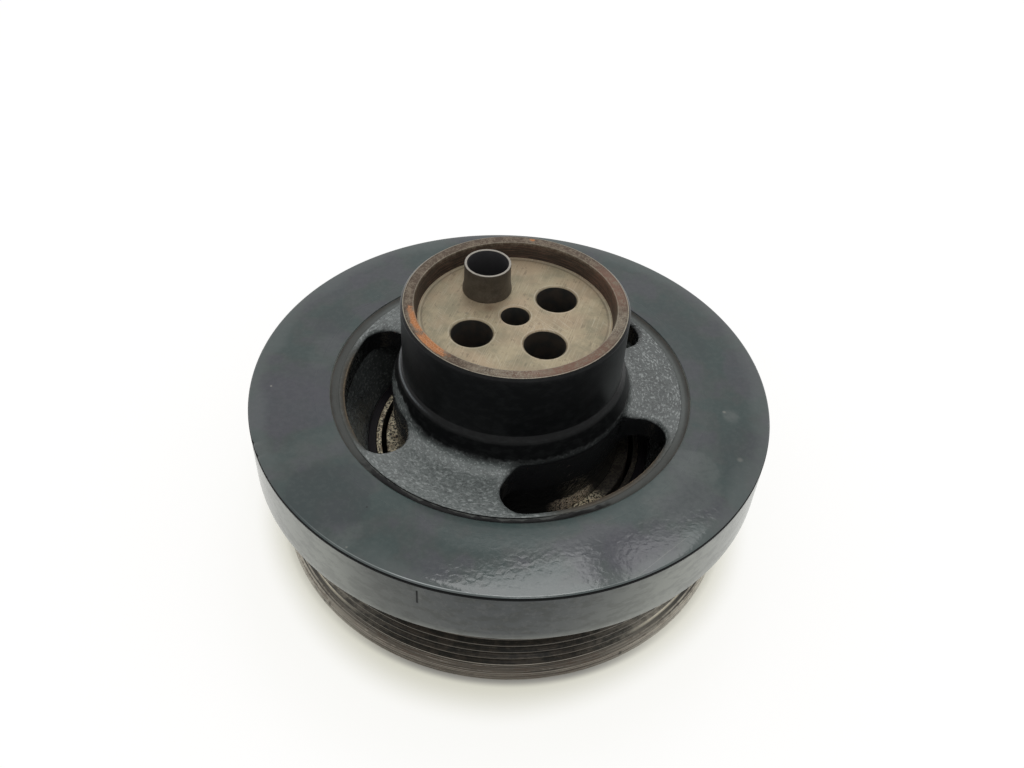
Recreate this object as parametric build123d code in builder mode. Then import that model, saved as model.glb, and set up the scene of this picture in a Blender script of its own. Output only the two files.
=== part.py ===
from build123d import *
from math import asin, cos, degrees, radians, sin, tan
import os

# Harmonic balancer: a cast hub carries an inertia ring on a thin rubber track and, below it,
# a belt pulley on a thicker rubber spring. Millimetres, +Z up along the crankshaft axis.
# The origin is on the axis, in the plane of the pulley's lower face, on which the part rests.

# ---------------------------------------------------------------- driving dimensions
# Hub rim, which carries both rubber springs and the pulley's plain bearing
hub_rim_diameter = 113.0
hub_rim_edge = 0.4
shoulder_width = 2.5
shoulder_drop = 1.0
bearing_wall = 5.7

# Rubber track of the damper, between the hub rim and the inertia ring
damper_thickness = 2.7
damper_sink = 0.9
damper_lip = 0.6
damper_hollow = 0.35

# Inertia ring
ring_width = 25.8
ring_height = 20.0
ring_outer_edge = 1.3
ring_inner_edge = 0.8
ring_lower_edge = 0.6
ring_gap = 2.5

# Hub web and its kidney windows
web_drop = 1.0
web_rise = 0.7
web_thickness = 8.0
web_root = 2.0
window_count = 3
window_angle = 66.5
window_span = 73.0
window_land = 2.1
window_root = 3.7
window_edge = 1.5

# Hub neck, its ledge and the flared foot that runs into the web
neck_diameter = 71.0
neck_height = 33.8
neck_wall = 7.0
neck_edge = 0.75
ledge_height = 10.1
ledge_width = 0.6
flare_width = 2.3
flare_drop = 1.7
flare_round = 2.0
foot_width = 4.6
foot_round = 5.0

# Recess for the crankshaft nose, and the floor that is bolted to it
rim_width = 4.1
recess_draft = 1.0
recess_depth = 5.5
floor_thickness = 13.0
well_round = 2.5
bolt_circle = 32.0
bolt_count = 4
bolt_angle = 36.5
bolt_hole_diameter = 13.0
centre_hole_diameter = 9.0
hole_edge = 0.4

# Locating sleeve, pressed into one of the bolt holes
sleeve_hole = 1
sleeve_bore = 13.2
sleeve_wall = 0.75
sleeve_foot_wall = 1.3
sleeve_stand = 10.1
sleeve_foot_stand = 2.8
sleeve_foot_taper = 0.6
sleeve_seat_depth = 8.0
sleeve_edge = 0.2

# Belt pulley: rim with V grooves, web and journal tube
groove_count = 6
groove_pitch = 3.56
groove_depth = 2.8
groove_angle = 40.0
crest_width = 0.45
flange_width = 5.1
flange_rise = 2.4
flange_land = 3.1
flange_edge = 0.7
pulley_wall = 4.0
pulley_inner_edge = 0.6
pulley_root = 1.5
pulley_web = 4.0
journal_length = 20.5
journal_wall = 1.85
journal_edge = 0.3

# Plain bearing bush, thrust ring and retaining ring
bush_wall = 2.8
bush_flange_thickness = 2.0
bush_flange_width = 4.7
running_clearance = 0.05
journal_gap = 1.6
retaining_wall = 4.0
retaining_flange_thickness = 2.4
retaining_flange_reach = 11.0
retaining_edge = 0.5
thrust_thickness = 1.4
thrust_clearance = 0.3
floor_gap = 1.2
barrel_inset = 1.2
barrel_edge = 0.5

# Decoupling spring: rubber bonded between a carrier ring, pressed on the hub, and a shell
# ring, pressed into the pulley
carrier_sheet = 2.0
carrier_inset = 1.0
shell_sheet = 1.5
shell_inset = 1.0
spring_ring_edge = 0.5
decoupling_thickness = 11.5
decoupling_inset = 2.5
decoupling_hollow = 2.0

# Largest share of a wall that its rounded edge may take, and how near two radii are when equal
rounding_share = 0.9
same_radius = 0.01

# ---------------------------------------------------------------- radii
hub_rim_radius = hub_rim_diameter / 2
seat_radius = hub_rim_radius - shoulder_width
bearing_radius = seat_radius - bearing_wall
bush_radius = bearing_radius - bush_wall
bush_flange_radius = bearing_radius + bush_flange_width
journal_radius = bush_radius - running_clearance
journal_bore_radius = journal_radius - journal_wall
retaining_radius = journal_bore_radius - journal_gap
barrel_radius = retaining_radius - retaining_wall
retaining_flange_radius = retaining_radius + retaining_flange_reach
carrier_radius = seat_radius + carrier_sheet
shell_bore_radius = carrier_radius + decoupling_thickness
pulley_bore_radius = shell_bore_radius + shell_sheet
groove_root_radius = pulley_bore_radius + pulley_wall
crest_radius = groove_root_radius + groove_depth
flange_radius = crest_radius + flange_rise
ring_bore_radius = hub_rim_radius + damper_thickness
ring_radius = ring_bore_radius + ring_width
neck_radius = neck_diameter / 2
well_radius = neck_radius - neck_wall
mouth_radius = neck_radius - rim_width
recess_radius = mouth_radius - recess_draft
ledge_radius = neck_radius + ledge_width
flare_radius = neck_radius + flare_width
foot_radius = neck_radius + foot_width
window_inner_radius = neck_radius + window_root
window_outer_radius = hub_rim_radius - window_land
bolt_circle_radius = bolt_circle / 2
sleeve_bore_radius = sleeve_bore / 2
sleeve_radius = sleeve_bore_radius + sleeve_wall
sleeve_foot_radius = sleeve_bore_radius + sleeve_foot_wall

# ---------------------------------------------------------------- heights
pulley_height = 2 * flange_width + groove_count * groove_pitch
ring_bottom = pulley_height + ring_gap
ring_top = ring_bottom + ring_height
shoulder_z = ring_bottom - shoulder_drop
web_outer_top = ring_top - web_drop
web_inner_top = web_outer_top + web_rise
web_bottom = web_outer_top - web_thickness
ledge_z = ring_top + ledge_height
flare_z = ledge_z - flare_drop
neck_top = ring_top + neck_height
floor_top = neck_top - recess_depth
floor_bottom = floor_top - floor_thickness
barrel_bottom = floor_gap + barrel_inset
thrust_bottom = floor_gap + retaining_flange_thickness
pulley_web_bottom = thrust_bottom + thrust_thickness
pulley_web_top = pulley_web_bottom + pulley_web
hub_bottom = pulley_web_top + bush_flange_thickness
journal_top = pulley_web_top + journal_length
carrier_bottom = hub_bottom + carrier_inset
shell_top = pulley_height - shell_inset
decoupling_bottom = carrier_bottom + decoupling_inset
decoupling_top = pulley_height - decoupling_inset
sleeve_bottom = floor_top - sleeve_seat_depth
sleeve_top = floor_top + sleeve_stand
sleeve_foot_top = floor_top + sleeve_foot_stand

os.makedirs("parts", exist_ok=True)


def section(corners):
    """Closed outline whose corners are (radius, height, corner rounding)."""
    with BuildLine(mode=Mode.PRIVATE) as outline:
        FilletPolyline(
            [(radius, height) for radius, height, _ in corners],
            radius=[rounding for _, _, rounding in corners],
            close=True,
        )
    return outline.line


# ---------------------------------------------------------------- hub casting
window_mid_radius = (window_inner_radius + window_outer_radius) / 2
window_width = window_outer_radius - window_inner_radius
window_end = degrees(asin(window_width / 2 / window_mid_radius))
window_arc = window_span - 2 * window_end
window_rounding = min(window_edge, rounding_share * (window_land - hub_rim_edge))


def on_window_rim(edge):
    """Whether an edge of the hub is part of a window's upper rim."""
    if edge.geom_type == GeomType.LINE or not web_outer_top < edge.center().Z < flare_z:
        return False
    if edge.geom_type != GeomType.CIRCLE:
        return True
    return any(
        abs(edge.radius - radius) < same_radius
        for radius in (window_inner_radius, window_outer_radius)
    )


with BuildPart() as hub:
    with BuildSketch(Plane.XZ):
        add(section([
            (0, floor_bottom, 0),
            (0, floor_top, 0),
            (recess_radius, floor_top, 0),
            (mouth_radius, neck_top, 0),
            (neck_radius - neck_edge, neck_top, 0),
            (neck_radius, neck_top - neck_edge, 0),
            (neck_radius, ledge_z, 0),
            (ledge_radius, ledge_z, 0),
            (flare_radius, flare_z, flare_round),
            (foot_radius, web_inner_top, foot_round),
            (hub_rim_radius, web_outer_top, hub_rim_edge),
            (hub_rim_radius, shoulder_z, 0),
            (seat_radius, shoulder_z, 0),
            (seat_radius, hub_bottom, 0),
            (bearing_radius, hub_bottom, 0),
            (bearing_radius, journal_top, 0),
            (window_outer_radius, web_bottom, 0),
            (window_inner_radius, web_bottom, web_root),
            (barrel_radius, journal_top, 0),
            (barrel_radius, barrel_bottom, barrel_edge),
            (well_radius, barrel_bottom, barrel_edge),
            (well_radius, floor_bottom, well_round),
        ]))
        make_face()
    revolve(axis=Axis.Z)

    # Kidney windows through the web, with rounded upper rims
    window_centre_line = CenterArc(
        (0, 0), window_mid_radius, -window_arc / 2, window_arc, mode=Mode.PRIVATE
    )
    with BuildSketch(Plane.XY.offset(web_bottom)):
        with PolarLocations(0, window_count, start_angle=window_angle):
            SlotArc(window_centre_line, window_width)
    extrude(amount=flare_z - web_bottom, mode=Mode.SUBTRACT)
    fillet(hub.edges().filter_by(on_window_rim), window_rounding)

    # Bolt holes and the centre hole through the floor, each with a broken edge
    with BuildSketch(Plane.XY.offset(floor_top)):
        with PolarLocations(bolt_circle_radius, bolt_count, start_angle=bolt_angle):
            Circle(bolt_hole_diameter / 2)
        Circle(centre_hole_diameter / 2)
    extrude(amount=-floor_thickness, mode=Mode.SUBTRACT)
    floor_edges = hub.edges().filter_by_position(Axis.Z, floor_top, floor_top)
    floor_circles = floor_edges.filter_by(GeomType.CIRCLE)
    chamfer(floor_circles.filter_by(lambda edge: edge.radius < bolt_circle_radius), hole_edge)

    # Counterbore that holds the locating sleeve
    sleeve_angle = radians(bolt_angle + sleeve_hole * 360 / bolt_count)
    sleeve_x = bolt_circle_radius * cos(sleeve_angle)
    sleeve_y = bolt_circle_radius * sin(sleeve_angle)
    with BuildSketch(Plane.XY.offset(floor_top)):
        with Locations((sleeve_x, sleeve_y)):
            Circle(sleeve_foot_radius)
    extrude(amount=-sleeve_seat_depth, mode=Mode.SUBTRACT)

hub.part.label = "hub"
export_step(hub.part, "parts/hub.step")

# ---------------------------------------------------------------- locating sleeve
with BuildPart() as locating_sleeve:
    with BuildSketch(Plane((sleeve_x, sleeve_y, 0), x_dir=(1, 0, 0), z_dir=(0, -1, 0))):
        add(section([
            (sleeve_bore_radius, sleeve_bottom, sleeve_edge),
            (sleeve_foot_radius, sleeve_bottom, sleeve_edge),
            (sleeve_foot_radius, sleeve_foot_top - sleeve_foot_taper, 0),
            (sleeve_radius, sleeve_foot_top, 0),
            (sleeve_radius, sleeve_top, sleeve_edge),
            (sleeve_bore_radius, sleeve_top, sleeve_edge),
        ]))
        make_face()
    revolve(axis=Axis((sleeve_x, sleeve_y, 0), (0, 0, 1)))

locating_sleeve.part.label = "locating_sleeve"
export_step(locating_sleeve.part, "parts/locating_sleeve.step")

# ---------------------------------------------------------------- inertia ring
with BuildPart() as inertia_ring:
    with BuildSketch(Plane.XZ):
        add(section([
            (ring_bore_radius, ring_bottom, ring_lower_edge),
            (ring_radius, ring_bottom, ring_lower_edge),
            (ring_radius, ring_top, ring_outer_edge),
            (ring_bore_radius, ring_top, ring_inner_edge),
        ]))
        make_face()
    revolve(axis=Axis.Z)

inertia_ring.part.label = "inertia_ring"
export_step(inertia_ring.part, "parts/inertia_ring.step")

# ---------------------------------------------------------------- rubber track of the damper
damper_mid_radius = (hub_rim_radius + ring_bore_radius) / 2
damper_bottom = ring_bottom + damper_sink
damper_inner_top = web_outer_top - damper_lip
damper_outer_top = ring_top - damper_sink
damper_mid_top = (damper_inner_top + damper_outer_top) / 2 - damper_hollow

with BuildPart() as damper_rubber:
    with BuildSketch(Plane.XZ):
        with BuildLine():
            Line((hub_rim_radius, damper_bottom), (hub_rim_radius, damper_inner_top))
            ThreePointArc(
                (hub_rim_radius, damper_inner_top),
                (damper_mid_radius, damper_mid_top),
                (ring_bore_radius, damper_outer_top),
            )
            Line((ring_bore_radius, damper_outer_top), (ring_bore_radius, damper_bottom))
            ThreePointArc(
                (ring_bore_radius, damper_bottom),
                (damper_mid_radius, damper_bottom + damper_hollow),
                (hub_rim_radius, damper_bottom),
            )
        make_face()
    revolve(axis=Axis.Z)

damper_rubber.part.label = "damper_rubber"
export_step(damper_rubber.part, "parts/damper_rubber.step")

# ---------------------------------------------------------------- belt pulley
groove_half_mouth = (groove_pitch - crest_width) / 2
groove_half_root = groove_half_mouth - groove_depth * tan(radians(groove_angle / 2))
grooves = []
for groove in range(groove_count):
    groove_z = flange_width + (groove + 0.5) * groove_pitch
    grooves += [
        (crest_radius, groove_z - groove_half_mouth, 0),
        (groove_root_radius, groove_z - groove_half_root, 0),
        (groove_root_radius, groove_z + groove_half_root, 0),
        (crest_radius, groove_z + groove_half_mouth, 0),
    ]

with BuildPart() as pulley:
    with BuildSketch(Plane.XZ):
        add(section([
            (journal_bore_radius, pulley_web_bottom, journal_edge),
            (pulley_bore_radius, pulley_web_bottom, 0),
            (pulley_bore_radius, 0, pulley_inner_edge),
            (flange_radius - flange_edge, 0, 0),
            (flange_radius, flange_edge, 0),
            (flange_radius, flange_edge + flange_land, 0),
            *grooves,
            (flange_radius, pulley_height - flange_edge - flange_land, 0),
            (flange_radius, pulley_height - flange_edge, 0),
            (flange_radius - flange_edge, pulley_height, 0),
            (pulley_bore_radius, pulley_height, pulley_inner_edge),
            (pulley_bore_radius, pulley_web_top, pulley_root),
            (journal_radius, pulley_web_top, 0),
            (journal_radius, journal_top, journal_edge),
            (journal_bore_radius, journal_top, journal_edge),
        ]))
        make_face()
    revolve(axis=Axis.Z)

pulley.part.label = "pulley"
export_step(pulley.part, "parts/pulley.step")

# ---------------------------------------------------------------- plain bearing bush
with BuildPart() as bearing_bush:
    with BuildSketch(Plane.XZ):
        add(section([
            (bush_radius, pulley_web_top, journal_edge),
            (bush_flange_radius, pulley_web_top, journal_edge),
            (bush_flange_radius, hub_bottom, journal_edge),
            (bearing_radius, hub_bottom, 0),
            (bearing_radius, journal_top, journal_edge),
            (bush_radius, journal_top, journal_edge),
        ]))
        make_face()
    revolve(axis=Axis.Z)

bearing_bush.part.label = "bearing_bush"
export_step(bearing_bush.part, "parts/bearing_bush.step")

# ---------------------------------------------------------------- retaining ring on the hub's barrel
with BuildPart() as retaining_ring:
    with BuildSketch(Plane.XZ):
        add(section([
            (barrel_radius, floor_gap, retaining_edge),
            (retaining_flange_radius, floor_gap, retaining_edge),
            (retaining_flange_radius, thrust_bottom, retaining_edge),
            (retaining_radius, thrust_bottom, 0),
            (retaining_radius, journal_top, retaining_edge),
            (barrel_radius, journal_top, 0),
        ]))
        make_face()
    revolve(axis=Axis.Z)

retaining_ring.part.label = "retaining_ring"
export_step(retaining_ring.part, "parts/retaining_ring.step")

# ---------------------------------------------------------------- thrust ring under the pulley's web
with BuildPart() as thrust_ring:
    with BuildSketch(Plane.XY.offset(thrust_bottom)):
        Circle(retaining_flange_radius)
        Circle(journal_bore_radius + thrust_clearance, mode=Mode.SUBTRACT)
    extrude(amount=thrust_thickness)

thrust_ring.part.label = "thrust_ring"
export_step(thrust_ring.part, "parts/thrust_ring.step")

# ---------------------------------------------------------------- carrier ring of the decoupling spring
with BuildPart() as carrier_ring:
    with BuildSketch(Plane.XZ):
        add(section([
            (seat_radius, carrier_bottom, spring_ring_edge),
            (carrier_radius, carrier_bottom, spring_ring_edge),
            (carrier_radius, shoulder_z, spring_ring_edge),
            (seat_radius, shoulder_z, 0),
        ]))
        make_face()
    revolve(axis=Axis.Z)

carrier_ring.part.label = "carrier_ring"
export_step(carrier_ring.part, "parts/carrier_ring.step")

# ---------------------------------------------------------------- shell ring of the decoupling spring
with BuildPart() as shell_ring:
    with BuildSketch(Plane.XZ):
        add(section([
            (shell_bore_radius, carrier_bottom, spring_ring_edge),
            (pulley_bore_radius, carrier_bottom, spring_ring_edge),
            (pulley_bore_radius, shell_top, spring_ring_edge),
            (shell_bore_radius, shell_top, spring_ring_edge),
        ]))
        make_face()
    revolve(axis=Axis.Z)

shell_ring.part.label = "shell_ring"
export_step(shell_ring.part, "parts/shell_ring.step")

# ---------------------------------------------------------------- rubber of the decoupling spring
decoupling_mid_radius = (carrier_radius + shell_bore_radius) / 2

with BuildPart() as decoupling_rubber:
    with BuildSketch(Plane.XZ):
        with BuildLine():
            Line((carrier_radius, decoupling_bottom), (carrier_radius, decoupling_top))
            ThreePointArc(
                (carrier_radius, decoupling_top),
                (decoupling_mid_radius, decoupling_top - decoupling_hollow),
                (shell_bore_radius, decoupling_top),
            )
            Line((shell_bore_radius, decoupling_top), (shell_bore_radius, decoupling_bottom))
            ThreePointArc(
                (shell_bore_radius, decoupling_bottom),
                (decoupling_mid_radius, decoupling_bottom + decoupling_hollow),
                (carrier_radius, decoupling_bottom),
            )
        make_face()
    revolve(axis=Axis.Z)

decoupling_rubber.part.label = "decoupling_rubber"
export_step(decoupling_rubber.part, "parts/decoupling_rubber.step")
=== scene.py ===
"""The looks of a used harmonic balancer: a cast hub, an inertia ring and a belt pulley.

Every turned part is a profile carried round the crankshaft axis, and the two pierced plates of
the hub are grids that run from each hole's wall out to the next one. Sizes are millimetres in the
part's own frame, +Z up along the axis, and become metres when a mesh is made.
"""

import logging
import math
from collections.abc import Callable, Sequence
from dataclasses import dataclass
from enum import Enum
from functools import reduce

import bpy
import numpy as np
from mathutils import Matrix, Vector


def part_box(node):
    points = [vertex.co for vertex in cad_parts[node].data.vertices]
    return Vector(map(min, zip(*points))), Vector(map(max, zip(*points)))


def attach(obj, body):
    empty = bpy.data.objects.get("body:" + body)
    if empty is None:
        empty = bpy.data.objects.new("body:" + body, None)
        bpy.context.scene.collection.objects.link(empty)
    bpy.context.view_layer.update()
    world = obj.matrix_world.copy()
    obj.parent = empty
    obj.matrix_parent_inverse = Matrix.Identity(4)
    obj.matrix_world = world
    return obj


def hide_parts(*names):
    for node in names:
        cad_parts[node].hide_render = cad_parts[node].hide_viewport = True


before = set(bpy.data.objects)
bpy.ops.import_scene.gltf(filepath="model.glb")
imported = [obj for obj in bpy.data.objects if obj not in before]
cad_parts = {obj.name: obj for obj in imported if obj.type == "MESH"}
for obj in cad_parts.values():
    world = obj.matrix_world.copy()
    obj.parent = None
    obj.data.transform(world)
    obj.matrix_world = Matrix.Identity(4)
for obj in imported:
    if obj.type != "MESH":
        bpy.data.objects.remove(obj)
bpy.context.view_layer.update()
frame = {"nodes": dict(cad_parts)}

log = logging.getLogger("balancer")

MM = 0.001
BODY = "root"
Array = np.ndarray
Material = bpy.types.Material
Socket = bpy.types.NodeSocket
Pair = tuple[float, float]
Triple = tuple[float, float, float]
Colour = Triple


# ---------------------------------------------------------------------------------- surfaces
@dataclass(frozen=True)
class Corner:
    """A corner of a turned profile, in millimetres.

    Attributes:
        radius: Distance from the axis.
        height: Height above the resting plane.
        rounding: Radius of the arc that takes the corner's place, or 0 for a sharp one.
        region: Which dressed region the stretch after this corner belongs to.
    """

    radius: float
    height: float
    rounding: float = 0.0
    region: int = 0


@dataclass
class Patch:
    """A grid of quads: points in rows, with a region number for each row of faces."""

    points: Array
    regions: Array
    closed_rows: bool = False
    closed_columns: bool = True
    flipped: bool = False

    def faces(self, first: int) -> tuple[Array, Array]:
        """Quads of the grid as vertex numbers.

        Args:
            first: Number of the grid's first vertex in the whole mesh.

        Returns:
            The quads, and the region of each.
        """
        rows, columns = self.points.shape[:2]
        numbers = first + np.arange(rows * columns).reshape(rows, columns)
        last_row = rows if self.closed_rows else rows - 1
        last_column = columns if self.closed_columns else columns - 1
        i, j = np.meshgrid(np.arange(last_row), np.arange(last_column), indexing="ij")
        next_i, next_j = (i + 1) % rows, (j + 1) % columns
        corners = [numbers[i, j], numbers[i, next_j], numbers[next_i, next_j], numbers[next_i, j]]
        quads = np.stack(corners, axis=-1).reshape(-1, 4)
        if self.flipped:
            quads = quads[:, ::-1]
        return quads, np.repeat(self.regions[:last_row], last_column)


def rounded(corners: Sequence[Corner], closed: bool = True, step: float = 15.0) -> tuple[Array, Array]:
    """Puts an arc in the place of each rounded corner.

    The arc of radius r touches both sides at r / tan(half the angle between them) from the
    corner, and its centre lies on their bisector.

    Args:
        corners: The outline's corners in order.
        closed: Whether the last corner joins the first.
        step: Turn between two points of an arc, in degrees.

    Returns:
        Points as (radius, height) rows, and the region of the stretch after each point.
    """
    spots = np.array([(c.radius, c.height) for c in corners])
    points, regions = [], []
    for index, corner in enumerate(corners):
        before = corners[index - 1].region if index or closed else corner.region
        ends = not closed and index in (0, len(corners) - 1)
        here = spots[index]
        if corner.rounding <= 0 or ends:
            points.append(here)
            regions.append(corner.region)
            continue
        back = spots[index - 1] - here
        ahead = spots[(index + 1) % len(corners)] - here
        back, ahead = back / np.linalg.norm(back), ahead / np.linalg.norm(ahead)
        half = math.acos(float(np.clip(back @ ahead, -1, 1))) / 2
        reach = corner.rounding / math.tan(half)
        bisector = (back + ahead) / np.linalg.norm(back + ahead)
        centre = here + bisector * corner.rounding / math.sin(half)
        first, last = here + back * reach - centre, here + ahead * reach - centre
        turn = math.pi - 2 * half
        count = max(2, math.ceil(math.degrees(turn) / step))
        weights = np.linspace(0, 1, count + 1)[:, None]
        arc = np.sin((1 - weights) * turn) * first + np.sin(weights * turn) * last
        points.extend(centre + arc / math.sin(turn))
        regions.extend([before] * (count // 2) + [corner.region] * (count + 1 - count // 2))
    return np.array(points), np.array(regions)


def spread(points: Array, regions: Array, longest: float, closed: bool) -> tuple[Array, Array]:
    """Divides each stretch of a profile into equal steps no longer than a given length.

    Args:
        points: Profile points as (radius, height) rows.
        regions: Region of the stretch after each point.
        longest: The longest step.
        closed: Whether the last point joins the first.

    Returns:
        The denser profile, and the region of the stretch after each of its points.
    """
    following = np.roll(points, -1, axis=0)
    counts = np.maximum(1, np.ceil(np.linalg.norm(following - points, axis=1) / longest)).astype(int)
    if not closed:
        counts[-1] = 1
    start = np.repeat(np.arange(len(points)), counts)
    share = (np.arange(counts.sum()) - np.repeat(np.cumsum(counts) - counts, counts)) / counts[start]
    return points[start] + (following[start] - points[start]) * share[:, None], regions[start]


def turned(
    corners: Sequence[Corner], segments: int, closed: bool = True, longest: float = 3.0,
    start: float = 0.0, centre: Pair = (0.0, 0.0), step: float = 15.0,
) -> Patch:
    """Carries a profile round a vertical axis: (r cos t, r sin t, z) for t through a full turn.

    Args:
        corners: The profile's corners, with the solid on the left of the way they run.
        segments: Steps round the axis.
        closed: Whether the profile closes on itself.
        longest: The longest step along the profile.
        start: Angle of the first column, in degrees.
        centre: Where the axis stands.
        step: Turn between two points of a corner's arc, in degrees.

    Returns:
        The grid, with a row for each profile point.
    """
    profile, regions = spread(*rounded(corners, closed, step), longest, closed)
    angles = np.radians(start) + np.arange(segments) * 2 * np.pi / segments
    radius, height = profile[:, :1], profile[:, 1:]
    points = np.stack([
        centre[0] + radius * np.cos(angles),
        centre[1] + radius * np.sin(angles),
        np.broadcast_to(height, (len(profile), segments)),
    ], axis=-1)
    return Patch(points, regions, closed_rows=closed)


class LatticeNoise:
    """Smooth noise from random values on a cubic lattice.

    Between lattice points the value is blended along each axis by the weight 3t² - 2t³.
    """

    SIDE = 32

    def __init__(self, seed: int) -> None:
        """Draws the lattice's values.

        Args:
            seed: Seed of the random values.
        """
        self.values = np.random.default_rng(seed).uniform(-1, 1, (self.SIDE,) * 3)

    def at(self, points: Array, wavelength: float) -> Array:
        """Noise from -1 to 1 at each point.

        Args:
            points: The points, as rows of x, y and z.
            wavelength: Width of a lattice cell.

        Returns:
            The noise at each point.
        """
        cell = np.floor(points / wavelength).astype(int)
        share = points / wavelength - cell
        weight = share * share * (3 - 2 * share)
        total = np.zeros(len(points))
        for corner in np.ndindex(2, 2, 2):
            number = (cell + corner) % self.SIDE
            part = np.prod(np.where(corner, weight, 1 - weight), axis=1)
            total += part * self.values[number[:, 0], number[:, 1], number[:, 2]]
        return total


def smooth(value: Array, low: float, high: float) -> Array:
    """Smooth step from 0 at low to 1 at high: 3t² - 2t³ of the share t between them."""
    share = np.clip((value - low) / (high - low), 0, 1)
    return share * share * (3 - 2 * share)


def plateau(value: Array, rise: Pair, fall: Pair) -> Array:
    """Smooth step up from 0 to 1 over the rise, and down again over the fall."""
    return smooth(value, *rise) * (1 - smooth(value, *fall))


def radii(points: Array) -> Array:
    """Distance of each point from the part's axis."""
    return np.linalg.norm(points[:, :2], axis=1)


def angle_from(points: Array, degrees: float) -> Array:
    """How far round the axis each point is from an angle, in degrees from -180 to 180."""
    angles = np.degrees(np.arctan2(points[:, 1], points[:, 0]))
    return (angles - degrees + 180) % 360 - 180


def placed(name: str, data: bpy.types.ID, matrix: Matrix | None = None) -> bpy.types.Object:
    """Puts an object into the scene.

    Args:
        name: The object's name.
        data: Its mesh, light or camera.
        matrix: Where it stands, if not at the origin.

    Returns:
        The object.
    """
    obj = bpy.data.objects.new(name, data)
    if matrix is not None:
        obj.matrix_world = matrix
    bpy.context.scene.collection.objects.link(obj)
    return obj


@dataclass
class Skin:
    """A piece's mesh in the making: welded vertices, quads and the region of each."""

    points: Array
    quads: Array
    regions: Array

    @classmethod
    def from_patches(cls, patches: Sequence[Patch], weld: float = 1e-4) -> "Skin":
        """Joins grids into one skin, with vertices in the same place made one.

        Args:
            patches: The grids, which meet at equal vertices.
            weld: Size of the cell within which vertices are the same.

        Returns:
            The skin, without faces that the weld has closed up.
        """
        first, quads, regions = 0, [], []
        for patch in patches:
            own_quads, own_regions = patch.faces(first)
            quads.append(own_quads)
            regions.append(own_regions)
            first += patch.points.shape[0] * patch.points.shape[1]
        points = np.concatenate([patch.points.reshape(-1, 3) for patch in patches])
        _, kept, number = np.unique(np.round(points / weld), axis=0, return_index=True, return_inverse=True)
        return cls(points[kept], number.reshape(-1)[np.concatenate(quads)], np.concatenate(regions))

    def normals(self) -> Array:
        """The mean of the quads' normals round each vertex, weighted by area.

        Returns:
            The outward unit normals.
        """
        corner = self.points[self.quads]
        across = np.cross(corner[:, 2] - corner[:, 0], corner[:, 3] - corner[:, 1])
        total = np.zeros_like(self.points)
        for place in range(4):
            np.add.at(total, self.quads[:, place], across)
        return total / np.maximum(np.linalg.norm(total, axis=1, keepdims=True), 1e-12)

    def swell(self, amount: Array) -> None:
        """Moves each vertex along its normal by its own amount, in millimetres."""
        self.points = self.points + self.normals() * amount[:, None]

    def piece(self, name: str, materials: Sequence[Material],
              crease: float = 38.0) -> bpy.types.Object:
        """Makes the Blender object, in metres, at the origin.

        Args:
            name: The object's name.
            materials: One material for each region.
            crease: Edges that turn by more than this many degrees stay sharp.

        Returns:
            The object, linked to the scene.
        """
        faces = [tuple(dict.fromkeys(quad)) for quad in self.quads.tolist()]
        whole = [len(face) > 2 for face in faces]
        mesh = bpy.data.meshes.new(name)
        mesh.from_pydata((self.points * MM).tolist(), [], [f for f, keep in zip(faces, whole) if keep])
        for material in materials:
            mesh.materials.append(material)
        mesh.polygons.foreach_set("material_index", self.regions[np.array(whole)].astype(np.int32))
        mesh.polygons.foreach_set("use_smooth", np.ones(len(mesh.polygons), bool))
        mesh.set_sharp_from_angle(angle=math.radians(crease))
        mesh.validate()
        mesh.update()
        return placed(name, mesh)


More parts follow.
